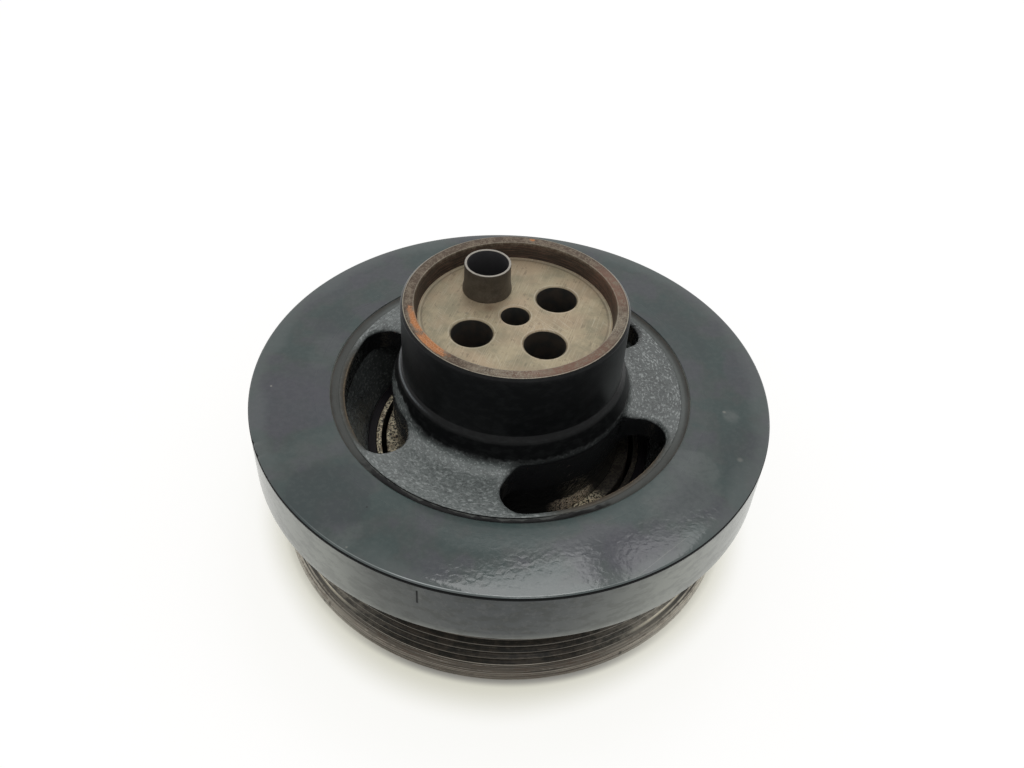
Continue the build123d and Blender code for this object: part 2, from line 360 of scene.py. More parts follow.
@dataclass
class PiercedSector:
    """One sector of a plate round the axis, with a hole whose centre line is an arc.

    A loop of columns runs round the sector's edge. Each column has a spot M on the hole's centre
    line and the direction u from M to the column's point on the edge, so the point at distance
    d from the hole is M + (half_width + d) u.

    Attributes:
        middle: Angle of the sector's middle, in degrees.
        spread_angle: Half the sector's angle, in degrees.
        hole_radius: Radius of the hole's centre line about the axis.
        hole_angle: Half the angle of that centre line, 0 for a round hole.
        half_width: Half the hole's width.
        top: Inner and outer radius of the sector's upper side.
        bottom: Inner and outer radius of its lower side.
        bottom_height: Height of the lower side.
        columns_round: Columns along each of its arcs.
        columns_out: Columns along each of its straight sides.
    """

    middle: float
    spread_angle: float
    hole_radius: float
    hole_angle: float
    half_width: float
    top: Pair
    bottom: Pair
    bottom_height: float
    columns_round: int
    columns_out: int

    LIP_SHARE = 0.85
    LIP_TURNS = np.linspace(0, np.pi / 2, 7)[1:]

    def edge(self, inner: float, outer: float) -> Array:
        """Points round the sector's edge, from the first side's outer end round and back to it.

        Args:
            inner: Radius of the edge's inner arc.
            outer: Radius of its outer arc.

        Returns:
            The points, as rows of x and y.
        """
        share_round = np.arange(self.columns_round) / self.columns_round
        share_out = np.arange(self.columns_out) / self.columns_out
        low, high = self.middle - self.spread_angle, self.middle + self.spread_angle
        angle = np.radians(np.concatenate([
            low + (high - low) * share_round, np.full(self.columns_out, high),
            high - (high - low) * share_round, np.full(self.columns_out, low),
        ]))
        radius = np.concatenate([
            np.full(self.columns_round, outer), outer - (outer - inner) * share_out,
            np.full(self.columns_round, inner), inner + (outer - inner) * share_out,
        ])
        return np.stack([radius * np.cos(angle), radius * np.sin(angle)], axis=-1)

    def patch(
        self, wall: Sequence[tuple[float, float, int]], surface: Callable[[Array], Array],
        regions: tuple[int, int], rows: tuple[int, int], lip: float = 0.0,
    ) -> Patch:
        """Builds the grid from the lower side's edge, up the hole's wall, to the upper side's edge.

        Args:
            wall: The hole's wall from bottom to top as (distance out from the plain wall, height,
                region). A height of infinity stands for the start of the lip's rounding.
            surface: Height of the upper side at each radius.
            regions: Regions of the lower and the upper side.
            rows: Rows across the lower and the upper side.
            lip: Largest radius of the rounding where the wall meets the upper side.

        Returns:
            The grid.
        """
        top_edge, bottom_edge = self.edge(*self.top), self.edge(*self.bottom)
        angle = (np.degrees(np.arctan2(top_edge[:, 1], top_edge[:, 0])) - self.middle + 180) % 360 - 180
        along = np.radians(self.middle + np.clip(angle, -self.hole_angle, self.hole_angle))
        middle = self.hole_radius * np.stack([np.cos(along), np.sin(along)], axis=-1)
        length = np.linalg.norm(top_edge - middle, axis=1)
        out = (top_edge - middle) / length[:, None]
        mouth = self.half_width + wall[-1][0]
        width = length - mouth
        rounding = np.minimum(lip, self.LIP_SHARE * width)
        grid: list[Array] = []
        row_regions: list[int] = []

        def add(distance: Array, height: Array | float, region: int) -> None:
            """Adds the row at a distance from the centre line and a height."""
            flat = middle + out * np.broadcast_to(distance, length.shape)[:, None]
            grid.append(np.column_stack([flat, np.broadcast_to(height, length.shape)]))
            row_regions.append(region)

        def level(distance: Array) -> Array:
            """Height of the upper side at a distance from the centre line."""
            return surface(np.linalg.norm(middle + out * distance[:, None], axis=1))

        start = middle + out * (self.half_width + wall[0][0])
        for share in np.linspace(0, 1, rows[0])[:-1]:
            flat = bottom_edge + (start - bottom_edge) * share
            grid.append(np.column_stack([flat, np.full(len(flat), self.bottom_height)]))
            row_regions.append(regions[0])
        lip_start = level(np.full_like(width, mouth)) - rounding
        for distance, height, region in wall:
            add(self.half_width + distance, np.minimum(height, lip_start), region)
        if lip > 0:
            for turn in self.LIP_TURNS:
                distance = mouth + rounding * (1 - np.cos(turn))
                add(distance, level(distance) - rounding * (1 - np.sin(turn)), regions[1])
        row_regions[-1] = regions[1]
        for share in np.linspace(0, 1, rows[1])[1:]:
            distance = mouth + rounding + (width - rounding) * share
            add(distance, level(distance), regions[1])
        return Patch(np.array(grid), np.array(row_regions), flipped=True)


# ---------------------------------------------------------------------------------- finishes
@dataclass(frozen=True)
class Field:
    """A number worked out at each point of a surface, as a socket of a material's nodes."""

    tree: bpy.types.NodeTree
    socket: Socket

    def node(self, operation: str, *others: "Field | float", clamp: bool = False) -> "Field":
        """Puts a Math node on this number.

        Args:
            operation: The Math node's operation.
            others: Its further inputs.
            clamp: Whether the result is kept from 0 to 1.

        Returns:
            The result.
        """
        node = self.tree.nodes.new("ShaderNodeMath")
        node.operation, node.use_clamp = operation, clamp
        for slot, value in zip(node.inputs, (self, *others)):
            feed(self.tree, value, slot)
        return Field(self.tree, node.outputs[0])

    def __add__(self, other: "Field | float") -> "Field":
        """Sum."""
        return self.node("ADD", other)

    def __sub__(self, other: "Field | float") -> "Field":
        """Difference."""
        return self.node("SUBTRACT", other)

    def __mul__(self, other: "Field | float") -> "Field":
        """Product."""
        return self.node("MULTIPLY", other)

    def size(self) -> "Field":
        """The number without its sign."""
        return self.node("ABSOLUTE")

    def flip(self) -> "Field":
        """One minus the number."""
        return self * -1.0 + 1.0

    def most(self, other: "Field | float") -> "Field":
        """The larger of two numbers."""
        return self.node("MAXIMUM", other)

    def above(self, edge: "Field | float", soft: float) -> "Field":
        """Smooth step from 0 to 1 across an edge.

        Args:
            edge: Where the step has its middle.
            soft: How far the step reaches to each side of it.

        Returns:
            The step.
        """
        node = self.tree.nodes.new("ShaderNodeMapRange")
        node.interpolation_type = "SMOOTHSTEP"
        self.tree.links.new((self - edge).socket, node.inputs["Value"])
        node.inputs["From Min"].default_value = -soft
        node.inputs["From Max"].default_value = soft
        return Field(self.tree, node.outputs["Result"])

    def below(self, edge: "Field | float", soft: float) -> "Field":
        """Smooth step from 1 to 0 across an edge, as above() has them."""
        return self.above(edge, soft).flip()

    def near(self, middle: float, reach: float, soft: float) -> "Field":
        """1 within reach of a middle value, with edges as soft as given."""
        return (self - middle).size().below(reach, soft)

    def bands(self, *bands: Triple) -> "Field":
        """1 in each of some bands, given by middle, reach and softness."""
        return reduce(Field.most, (self.near(*band) for band in bands))


Paint = Colour | Socket


def feed(tree: bpy.types.NodeTree, value: Field | Paint | float, slot: Socket) -> None:
    """Gives a node's input its value: a link from a field or a socket, or else a constant.

    Args:
        tree: The node tree.
        value: The value.
        slot: The input.
    """
    if isinstance(value, Field):
        value = value.socket
    if isinstance(value, Socket):
        tree.links.new(value, slot)
    else:
        slot.default_value = (*value, 1.0) if isinstance(value, tuple) else value


class Coat:
    """One material in the making: its node tree, its coordinates, its colour and its shader."""

    def __init__(self, name: str) -> None:
        """Makes the material with object coordinates in millimetres.

        Args:
            name: The material's name.
        """
        self.material = bpy.data.materials.new(name)
        self.material.use_nodes = True
        self.tree = self.material.node_tree
        self.shader = self.tree.nodes["Principled BSDF"]
        coordinates = self.tree.nodes.new("ShaderNodeTexCoord").outputs["Object"]
        self.place = self.vector("SCALE", coordinates, scale=1 / MM)
        split = self.tree.nodes.new("ShaderNodeSeparateXYZ")
        self.tree.links.new(self.place, split.inputs[0])
        self.x, self.y, self.z = (Field(self.tree, split.outputs[axis]) for axis in "XYZ")
        self.bumps: list[tuple[Field, float]] = []
        self.colour: Paint = (0.5, 0.5, 0.5)

    def vector(self, operation: str, a: Socket, b: Sequence[float] | None = None,
               scale: float = 1.0) -> Socket:
        """Puts a Vector Math node on a vector.

        Args:
            operation: The node's operation.
            a: The vector.
            b: The second vector, if the operation has one.
            scale: The scale, if the operation has one.

        Returns:
            The result's socket.
        """
        node = self.tree.nodes.new("ShaderNodeVectorMath")
        node.operation = operation
        self.tree.links.new(a, node.inputs[0])
        if operation == "SCALE":
            node.inputs["Scale"].default_value = scale
        if b is not None:
            node.inputs[1].default_value = b
        return node.outputs["Vector"]

    def join(self, *parts: Field | float) -> Socket:
        """A vector from three numbers.

        Args:
            parts: The numbers.

        Returns:
            The vector's socket.
        """
        node = self.tree.nodes.new("ShaderNodeCombineXYZ")
        for slot, part in zip(node.inputs, parts):
            feed(self.tree, part, slot)
        return node.outputs[0]

    def radius(self, centre: Pair = (0.0, 0.0)) -> Field:
        """Distance from a vertical axis."""
        x, y = self.x - centre[0], self.y - centre[1]
        return (x * x + y * y).node("SQRT")

    def angle(self, zero: float = 0.0) -> Field:
        """Angle about the part's axis.

        Args:
            zero: The angle, from +X, that counts as 0.

        Returns:
            The angle in degrees, from -180 to 180.
        """
        turn = math.radians(zero)
        across = self.y * math.cos(turn) - self.x * math.sin(turn)
        along = self.x * math.cos(turn) + self.y * math.sin(turn)
        return across.node("ARCTAN2", along) * math.degrees(1)

    def side(self, middle: float, reach: float, soft: float) -> Field:
        """1 on the side of the part within reach of a middle angle, with edges as soft as given."""
        return self.angle(middle).near(0.0, reach, soft)

    def sides(self, *sides: Triple) -> Field:
        """1 on each of some sides, given by middle angle, reach and softness."""
        return reduce(Field.most, (self.side(*side) for side in sides))

    def noise(self, size: float, detail: float = 3.0, rough: float = 0.55, warp: float = 0.0,
              place: Socket | None = None, shift: float = 0.0) -> Field:
        """Cloudy noise around 0.5.

        Args:
            size: Size of a cloud in millimetres.
            detail: Finer layers.
            rough: Weight of the finer layers.
            warp: Distortion.
            place: Where to read it, if not at the surface's own place.
            shift: Moves the pattern, so that two noises differ.

        Returns:
            The noise.
        """
        node = self.tree.nodes.new("ShaderNodeTexNoise")
        moved = self.vector("ADD", place or self.place, (shift, shift * 0.7, shift * 1.3))
        self.tree.links.new(moved, node.inputs["Vector"])
        node.inputs["Scale"].default_value = 1 / size
        node.inputs["Detail"].default_value = detail
        node.inputs["Roughness"].default_value = rough
        node.inputs["Distortion"].default_value = warp
        return Field(self.tree, node.outputs["Fac"])

    def attribute(self, name: str) -> Field:
        """A number that the mesh carries at each of its points.

        Args:
            name: The attribute's name.

        Returns:
            The number.
        """
        node = self.tree.nodes.new("ShaderNodeAttribute")
        node.attribute_name = name
        return Field(self.tree, node.outputs["Fac"])

    def line(self, start: Pair, end: Pair, width: float) -> Field:
        """1 on a straight mark seen from above, 0 away from it.

        The distance to the mark is |p - a - t (b - a)| with t the share along it, kept from 0 to 1.

        Args:
            start: One end, as x and y.
            end: The other end.
            width: Half the mark's width.

        Returns:
            The mark.
        """
        along = (end[0] - start[0], end[1] - start[1])
        square = along[0] ** 2 + along[1] ** 2
        x, y = self.x - start[0], self.y - start[1]
        share = (x * (along[0] / square)).node("ADD", y * (along[1] / square), clamp=True)
        dx, dy = x - share * along[0], y - share * along[1]
        return (dx * dx + dy * dy).node("SQRT").below(width, width)

    def mix(self, share: Field | float, low: Paint, high: Paint) -> Socket:
        """Blends two colours.

        Args:
            share: Share of the second colour.
            low: The first colour.
            high: The second colour.

        Returns:
            The blend's socket.
        """
        node = self.tree.nodes.new("ShaderNodeMix")
        node.data_type = "RGBA"
        for name, value in (("Factor_Float", share), ("A_Color", low), ("B_Color", high)):
            feed(self.tree, value, next(s for s in node.inputs if s.identifier == name))
        return next(s for s in node.outputs if s.identifier == "Result_Color")

    def lay(self, share: Field | float, colour: Paint) -> None:
        """Lays a further colour over what is there, by its share."""
        self.colour = self.mix(share, self.colour, colour)

    def bump(self, height: Field, depth: float) -> None:
        """Adds a relief to the surface.

        Args:
            height: The relief, from 0 to 1.
            depth: What 1 stands for, in millimetres.
        """
        self.bumps.append((height, depth))

    def finish(self, rough: Field | float, metal: Field | float = 0.0,
               shine: Field | float = 0.5) -> Material:
        """Wires the shader, with the colour as it has been laid.

        Args:
            rough: Roughness.
            metal: How far it is bare metal.
            shine: How strongly it mirrors when seen straight on, 0.5 for plain varnish.

        Returns:
            The material.
        """
        for name, value in (("Base Color", self.colour), ("Roughness", rough), ("Metallic", metal),
                            ("Specular IOR Level", shine)):
            feed(self.tree, value, self.shader.inputs[name])
        if self.bumps:
            relief = self.bumps[0][0] * self.bumps[0][1]
            for height, depth in self.bumps[1:]:
                relief = relief + height * depth
            node = self.tree.nodes.new("ShaderNodeBump")
            node.inputs["Distance"].default_value = MM
            self.tree.links.new(relief.socket, node.inputs["Height"])
            self.tree.links.new(node.outputs["Normal"], self.shader.inputs["Normal"])
        return self.material

    def upward(self) -> Field:
        """How far the face looks up.

        Returns:
            1 on a level top, 0 on an upright wall.
        """
        split = self.tree.nodes.new("ShaderNodeSeparateXYZ")
        normal = self.tree.nodes.new("ShaderNodeNewGeometry").outputs["Normal"]
        self.tree.links.new(normal, split.inputs[0])
        return Field(self.tree, split.outputs["Z"])

    def spot(self, radius: float, degrees: float, reach: float, soft: float) -> Field:
        """1 within reach of an upright line through a place on the part, 0 away from it.

        Args:
            radius: The place's distance from the axis.
            degrees: Its angle.
            reach: The spot's radius.
            soft: How soft its edge is.

        Returns:
            The spot.
        """
        x, y = polar(radius, degrees)
        return self.radius((x, y)).below(reach, soft)

    def glancing(self) -> Field:
        """How far the face turns away from the viewer: 0 seen straight on, 1 along it."""
        return Field(self.tree, self.tree.nodes.new("ShaderNodeLayerWeight").outputs["Facing"])

    def stain(self, radius: float, degrees: float, across: float, along: float, soft: float,
              ragged: float) -> Field:
        """1 inside an oval patch with a ragged edge, seen from above.

        With q = sqrt(((r - radius) / across)² + ((t - degrees) / along)²) the edge lies where q,
        shifted by noise, is 1.

        Args:
            radius: The patch's middle, as a distance from the axis.
            degrees: Its angle.
            across: Half its size along the radius, in millimetres.
            along: Half its size round the axis, in degrees.
            soft: How soft its edge is, as a share of its size.
            ragged: How far noise shifts the edge, as a share of its size.

        Returns:
            The patch.
        """
        out, round_axis = (self.radius() - radius) * (1 / across), self.angle(degrees) * (1 / along)
        distance = (out * out + round_axis * round_axis).node("SQRT")
        return (distance + (self.noise(9.0, shift=degrees) - 0.5) * ragged).below(1.0, soft)

    def round_place(self, across: float, along: float, up: float) -> Socket:
        """Coordinates that follow the turning: radius, way round and height, each divided by a size.

        The way round is the angle times a middle radius, so grain drawn out along it lies in
        circles about the axis.

        Args:
            across: Size of the grain along the radius.
            along: Its size round the axis.
            up: Its size along the axis.

        Returns:
            The coordinates' socket.
        """
        middle_radius = 60.0
        way = self.angle() * (math.radians(middle_radius) / along)
        return self.join(self.radius() * (1 / across), way, self.z * (1 / up))

    def grain(self, across: float, along: float, up: float, detail: float = 3.0, rough: float = 0.55,
              shift: float = 0.0) -> Field:
        """Noise drawn out round the axis, as turning and handling leave it.

        Args:
            across: Size of a cloud along the radius, in millimetres.
            along: Its size round the axis.
            up: Its size along the axis.
            detail: Finer layers.
            rough: Weight of the finer layers.
            shift: Moves the pattern, so that two noises differ.

        Returns:
            The noise.
        """
        return self.noise(1.0, detail, rough, place=self.round_place(across, along, up), shift=shift)


def polar(radius: float, degrees: float) -> Pair:
    """The place at a radius and an angle about the axis, as x and y."""
    return radius * math.cos(math.radians(degrees)), radius * math.sin(math.radians(degrees))


@dataclass(frozen=True)
class CastPaint:
    """Black paint on the hub: smooth where the neck was turned, lumpy and dusty on the casting.

    Attributes:
        turned_above: Height above which it is smooth.
        ledge: Height of the small ledge on the neck.
        brim_radius: Radius of the web's brim.
        barrel_radius: Largest radius of the barrel under the web.
        barrel_worn: Height below which the barrel carries pale crust, brightened as a painted pool of light.
        flare: Height, half-height and least radius of the dull flare at the neck's foot.
    """

    paint: Colour = (0.0045, 0.0048, 0.0050)
    scuffed: Colour = (0.013, 0.014, 0.014)
    inside: Colour = (0.009, 0.0095, 0.010)
    dust: Colour = (0.160, 0.178, 0.173)
    painted_glint: Colour = (0.42, 0.45, 0.44)
    hollow: Colour = (0.050, 0.056, 0.055)
    brim: Colour = (0.072, 0.076, 0.070)
    olive: Colour = (0.085, 0.066, 0.045)
    tan: Colour = (0.36, 0.27, 0.17)
    rust: Colour = (0.060, 0.024, 0.012)
    # edge: pale colour of the painted ledge highlight
    edge: Colour = (0.20, 0.22, 0.23)
    crust: Colour = (0.80, 0.66, 0.50)
    turned_above: float = 57.6
    ledge: float = 64.0
    brim_radius: float = 54.6
    barrel_radius: float = 41.0
    barrel_worn: float = 35.5
    flare: Triple = (59.0, 3.7, 36.65)

    def make(self) -> Material:
        """Makes the material. Dust settles on faces that look up, and wear on the window rims; painted light
        is laid as glints, as a highlight on the ledge, as a pool of light on the barrel and as more dust in
        front and less at the right, and painted shade at the window lips and in the lumps' hollows.

        Returns:
            The material.
        """
        coat = Coat("hub_paint")
        lumps = coat.noise(2.2, detail=2.0, rough=0.45, warp=0.5)
        pebbles = coat.noise(0.95, detail=2.0, shift=7)
        grain = coat.noise(0.45, detail=2.0, shift=11)
        cloud = coat.noise(9.0, detail=3.0, shift=31)
        left = coat.side(203.0, 14.0, 14.0)
        front = coat.side(248.0, 22.0, 16.0)
        cast = coat.z.below((lumps - 0.5) * 2.5 + left * 2.6 + self.turned_above, 0.7)
        facing = coat.upward()
        level = facing.above(left * -0.28 + 0.45, 0.27)
        # The front term makes dust a little more likely in front: painted light.
        dusty = cast * level * (
            grain * 0.35 + pebbles * 0.35 + lumps * 0.3 + cloud * 0.35 + front * 0.06).above(0.60, 0.2)
        scuff = coat.grain(1.0, 5.0, 1.6, detail=4, rough=0.6, shift=17)
        coat.colour = coat.mix(scuff.above(0.55, 0.12) * cast.flip() * 0.55, self.paint, self.scuffed)
        coat.lay(cast * facing.below(0.35, 0.3), self.inside)
        right = coat.side(12.0, 26.0, 18.0)
        lip = coat.attribute("rim")
        worn_side = coat.sides((192.0, 20.0, 8.0), (311.0, 20.0, 6.0))
        # Painted shade: near the window lips the dust thins, so the dish darkens towards the windows.
        free_of_lip_shade = (lip.above(0.62, 0.34) * worn_side.most(coat.side(34.0, 14.0, 8.0)) * 0.6).flip()
        # The dust is real, but its share is raised in front and lowered at the right as painted light.
        share = dusty * 0.52 + cast * level * (front * 0.10 - right * 0.08 + 0.38)
        coat.lay(share * free_of_lip_shade * (right * -0.18 + 1.0), self.dust)
        # Painted shade: the dust is darkened in the hollows of the lumps.
        coat.lay(dusty * pebbles.below(0.42, 0.06) * 0.35, self.hollow)
        # Painted highlights: small bright flecks stand in for glints on the dusty casting, more of them at
        # the right.
        flake = coat.grain(0.55, 1.5, 0.8, detail=2.0, shift=23)
        coat.lay(dusty * flake.above(0.585, 0.035) * (right * 0.25 + 0.5), self.painted_glint)
        smooth_side = coat.side(190.0, 26.0, 6.0).most(coat.side(311.0, 28.0, 6.0) * 0.95)
        brim = (coat.radius() + (lumps - 0.5) * 0.8).above(self.brim_radius, 0.6) * cast * smooth_side
        coat.lay(brim * 0.85, self.brim)
        coat.lay(brim * coat.side(304.0, 16.0, 8.0) * 0.55, self.olive)
        soil = (lip + (pebbles - 0.5) * 0.8).above(0.72, 0.25) * worn_side
        coat.lay(soil * 0.55, self.olive)
        bare = (lip + (grain - 0.5) * 0.5).above(0.96, 0.06) * worn_side * facing.near(0.55, 0.22, 0.12)
        coat.lay(bare * 0.65, self.tan)
        fleck = coat.noise(0.8, detail=4, rough=0.7, shift=29)
        # Pale crust on the barrel seen through the front window, laid bright as a painted pool of light.
        lit_crust_patch = (coat.z + (lumps - 0.5) * 3.0).below(self.barrel_worn, 1.0) * coat.side(305.0, 10.0, 5.0)
        lit_crust_patch = lit_crust_patch * coat.radius().below(self.barrel_radius, 0.5)
        coat.lay(lit_crust_patch * fleck.below(0.53, 0.02), self.crust)
        coat.lay(pebbles.above(0.74, 0.03) * cast * 0.6, self.rust)
        # Painted highlight along the ledge on the left side, partly rubbed paint.
        ledge_highlight = coat.z.near(self.ledge - 0.1, 0.22, 0.2) * coat.side(198.0, 20.0, 16.0)
        coat.lay(ledge_highlight * grain.above(0.35, 0.2) * 0.8, self.edge)
        rough = dusty * 0.12 + soil * 0.2 + cloud * 0.10 + cast.flip() * 0.16 + brim * 0.2 + 0.13
        coat.bump(lumps * cast, 0.32)
        coat.bump(pebbles * cast, 0.13)
        coat.bump(grain * (cast * 0.8 + 0.2), 0.025)
        coat.bump(coat.noise(5.0, detail=2, shift=3), 0.05)
        height, reach, least = self.flare
        flare = coat.z.near(height, reach, 0.4) * coat.radius().above(least, 0.15)
        shine = cast * (brim * -0.25 + 0.36) + coat.glancing().above(0.62, 0.2) * 0.42 + 0.13
        shine = shine * (flare * -0.85 + 1.0)
        return coat.finish(rough, shine=shine)


@dataclass(frozen=True)
class TurnedRim:
    """The bare rim face and recess wall of the neck: turned iron with a skin of rust."""

    metal: Colour = (0.205, 0.165, 0.120)
    brown: Colour = (0.085, 0.058, 0.040)
    pink: Colour = (0.225, 0.120, 0.085)
    orange: Colour = (0.46, 0.175, 0.055)
    peach: Colour = (0.58, 0.33, 0.20)
    silver: Colour = (0.42, 0.39, 0.31)
    soot: Colour = (0.022, 0.016, 0.012)
    edge_radius: float = 34.35
    mouth_radius: float = 31.4

    def make(self) -> Material:
        """Makes the material, with the orange patch where the neck's front left is.

        Returns:
            The material.
        """
        coat = Coat("neck_rim")
        radius = coat.radius()
        turning = coat.grain(0.16, 14.0, 0.22, detail=3, rough=0.6)
        cloud = coat.noise(1.7, detail=5, rough=0.65)
        fine = coat.noise(0.5, detail=4, rough=0.7, shift=9)
        speckle = cloud * 0.5 + fine * 0.5
        coat.colour = coat.mix(speckle.above(0.49, 0.06), self.metal, self.brown)
        front = coat.sides((300.0, 28.0, 14.0), (20.0, 18.0, 10.0))
        coat.lay(front * speckle.above(0.46, 0.07) * 0.65, self.pink)
        pale = coat.sides((268.0, 18.0, 9.0), (345.0, 12.0, 8.0))
        coat.lay(pale * fine.above(0.52, 0.06) * 0.5, self.silver)
        inward = radius.below(34.2, 0.5)
        patch = coat.side(223.0, 11.0, 7.0) * inward
        faint = coat.side(202.0, 12.0, 8.0) * radius.below(33.6, 0.9) * 0.9
        patch = patch.most(faint).most(coat.spot(33.6, 83.0, 0.9, 0.5))
        rusty = (patch + (speckle - 0.5) * 3.0).above(0.60, 0.28) * patch.above(0.15, 0.15)
        coat.lay(rusty, coat.mix(fine.above(0.5, 0.08) * 0.6, self.orange, self.peach))
        coat.lay(radius.near(self.edge_radius - 0.1, 0.1, 0.14) * 0.5, self.soot)
        edge = radius.near(self.edge_radius + 0.3, 0.12, 0.08) * (fine + cloud).above(0.90, 0.1)
        coat.lay(edge * 0.75, self.silver)
        wall = radius.below(self.mouth_radius - 0.12, 0.12)
        rusty_wall = (cloud * 0.6 + fine * 0.4 + front * 0.05).above(0.54, 0.08)
        lines = turning.above(0.55, 0.05)
        coat.lay(wall * (coat.z.below(85.5, 2.6) * 0.30 + 0.62) * (rusty_wall * -0.40 + 1.0), self.soot)
        coat.lay(wall * lines * 0.30, self.pink)
        coat.lay(wall * turning.below(0.44, 0.04) * 0.5, self.soot)
        coat.lay(wall.flip() * turning.below(0.41, 0.04) * 0.45, self.brown)
        lip = radius.near(self.mouth_radius + 0.1, 0.12, 0.1)
        coat.lay(lip * 0.35, self.silver)
        coat.bump(turning, 0.03)
        coat.bump(speckle, 0.08)
        return coat.finish(rusty * 0.25 + wall * 0.12 + 0.45, rusty.flip() * 0.2, 0.22)


@dataclass(frozen=True)
class ClampFloor:
    """The bare floor of the recess: khaki steel with long slanting scratches."""

    steel: Colour = (0.400, 0.335, 0.220)
    shade: Colour = (0.262, 0.230, 0.152)
    warm: Colour = (0.430, 0.315, 0.210)
    light: Colour = (0.56, 0.51, 0.40)
    stain: Colour = (0.20, 0.105, 0.06)
    soot: Colour = (0.06, 0.045, 0.032)
    bolt_circle: float = 16.0
    bolt_angle: float = 36.5
    scratches: tuple[tuple[float, float, float, float], ...] = (
        (9.0, 341.0, 12.5, 322.0), (7.5, 325.0, 12.0, 300.0), (14.0, 178.0, 15.5, 184.0),
        (20.0, 256.0, 24.0, 262.0), (24.0, 352.0, 25.0, 2.0), (12.0, 349.0, 17.5, 338.0),
        (21.0, 212.0, 25.0, 219.0), (15.0, 182.0, 14.2, 172.0),
    )

    def make(self) -> Material:
        """Makes the material, with a rubbed edge round each hole.

        Returns:
            The material.
        """
        coat = Coat("clamp_floor")
        radius = coat.radius()
        cloud = coat.noise(8.0, detail=4, rough=0.6)
        warmth = coat.noise(13.0, detail=2, shift=51)
        turning = coat.grain(0.3, 12.0, 1.0, detail=2)
        slant = coat.join(coat.x * 2.9 - coat.y * 0.8, coat.x * 0.03 + coat.y * 0.11, 0.0)
        brushed = coat.noise(1.0, detail=3, place=slant)
        crossed = coat.noise(1.0, detail=3, place=coat.join(
            coat.x * 1.9 + coat.y * 1.9, (coat.x - coat.y) * 0.08, 0.0))
        grey = (coat.x * -0.7 + coat.y * 0.7).above(6.0, 22.0)
        blotch = coat.noise(2.6, detail=5, rough=0.65, shift=71)
        coat.colour = coat.mix((cloud * 0.6 + blotch * 0.4).above(0.5, 0.1), self.steel, self.shade)
        coat.lay(grey * 0.35, self.shade)
        coat.lay(warmth.above(0.5, 0.14) * 0.55, self.warm)
        coat.lay(brushed.above(0.59, 0.05) * 0.20, self.light)
        coat.lay(brushed.below(0.42, 0.04) * 0.18, self.shade)
        dirty = (blotch * 0.7 + brushed * 0.3).below(0.41, 0.03)
        coat.lay(dirty * 0.35, self.soot)
        across = coat.stain(9.0, 335.0, 9.0, 60.0, 0.3, 0.8).most(blotch.above(0.56, 0.06) * 0.6)
        coat.lay(crossed.above(0.60, 0.04) * across * 0.45, self.light)
        for number in range(4):
            hole = coat.radius(polar(self.bolt_circle, self.bolt_angle + 90.0 * number))
            coat.lay(hole.near(7.2, 0.12, 0.18) * blotch.above(0.42, 0.12) * 0.5, self.light)
            coat.lay(hole.near(6.6, 0.10, 0.10) * 0.35, self.soot)
        coat.lay(radius.near(5.2, 0.12, 0.18) * blotch.above(0.42, 0.12) * 0.5, self.light)
        for start, start_angle, end, end_angle in self.scratches:
            mark = coat.line(polar(start, start_angle), polar(end, end_angle), 0.08)
            coat.lay(mark * 0.45, self.light)
        coat.lay(coat.spot(8.5, 160.0, 1.4, 1.6) * 0.40, self.stain)
        coat.lay(coat.spot(15.0, 181.0, 0.5, 0.4) * cloud * 0.8, self.soot)
        coat.lay(radius.near(29.1, 0.22, 0.25) * 0.40, self.soot)
        coat.lay(radius.near(29.75, 0.16, 0.16) * 0.45, self.light)
        coat.bump(turning, 0.012)
        coat.bump(brushed, 0.02)
        coat.bump(crossed, 0.015)
        return coat.finish(turning * 0.15 + cloud * 0.15 + 0.34, 0.4)


@dataclass(frozen=True)
class HoleSteel:
    """The walls of the holes in the floor: steel under black oil."""

    oil: Colour = (0.026, 0.026, 0.024)
    brown: Colour = (0.045, 0.036, 0.028)

    def make(self) -> Material:
        """Makes the material.

        Returns:
            The material.
        """
        coat = Coat("hole_steel")
        cloud = coat.noise(3.0, detail=4)
        coat.bump(cloud, 0.05)
        coat.colour = coat.mix(cloud.above(0.5, 0.15), self.oil, self.brown)
        return coat.finish(cloud * 0.2 + 0.4)


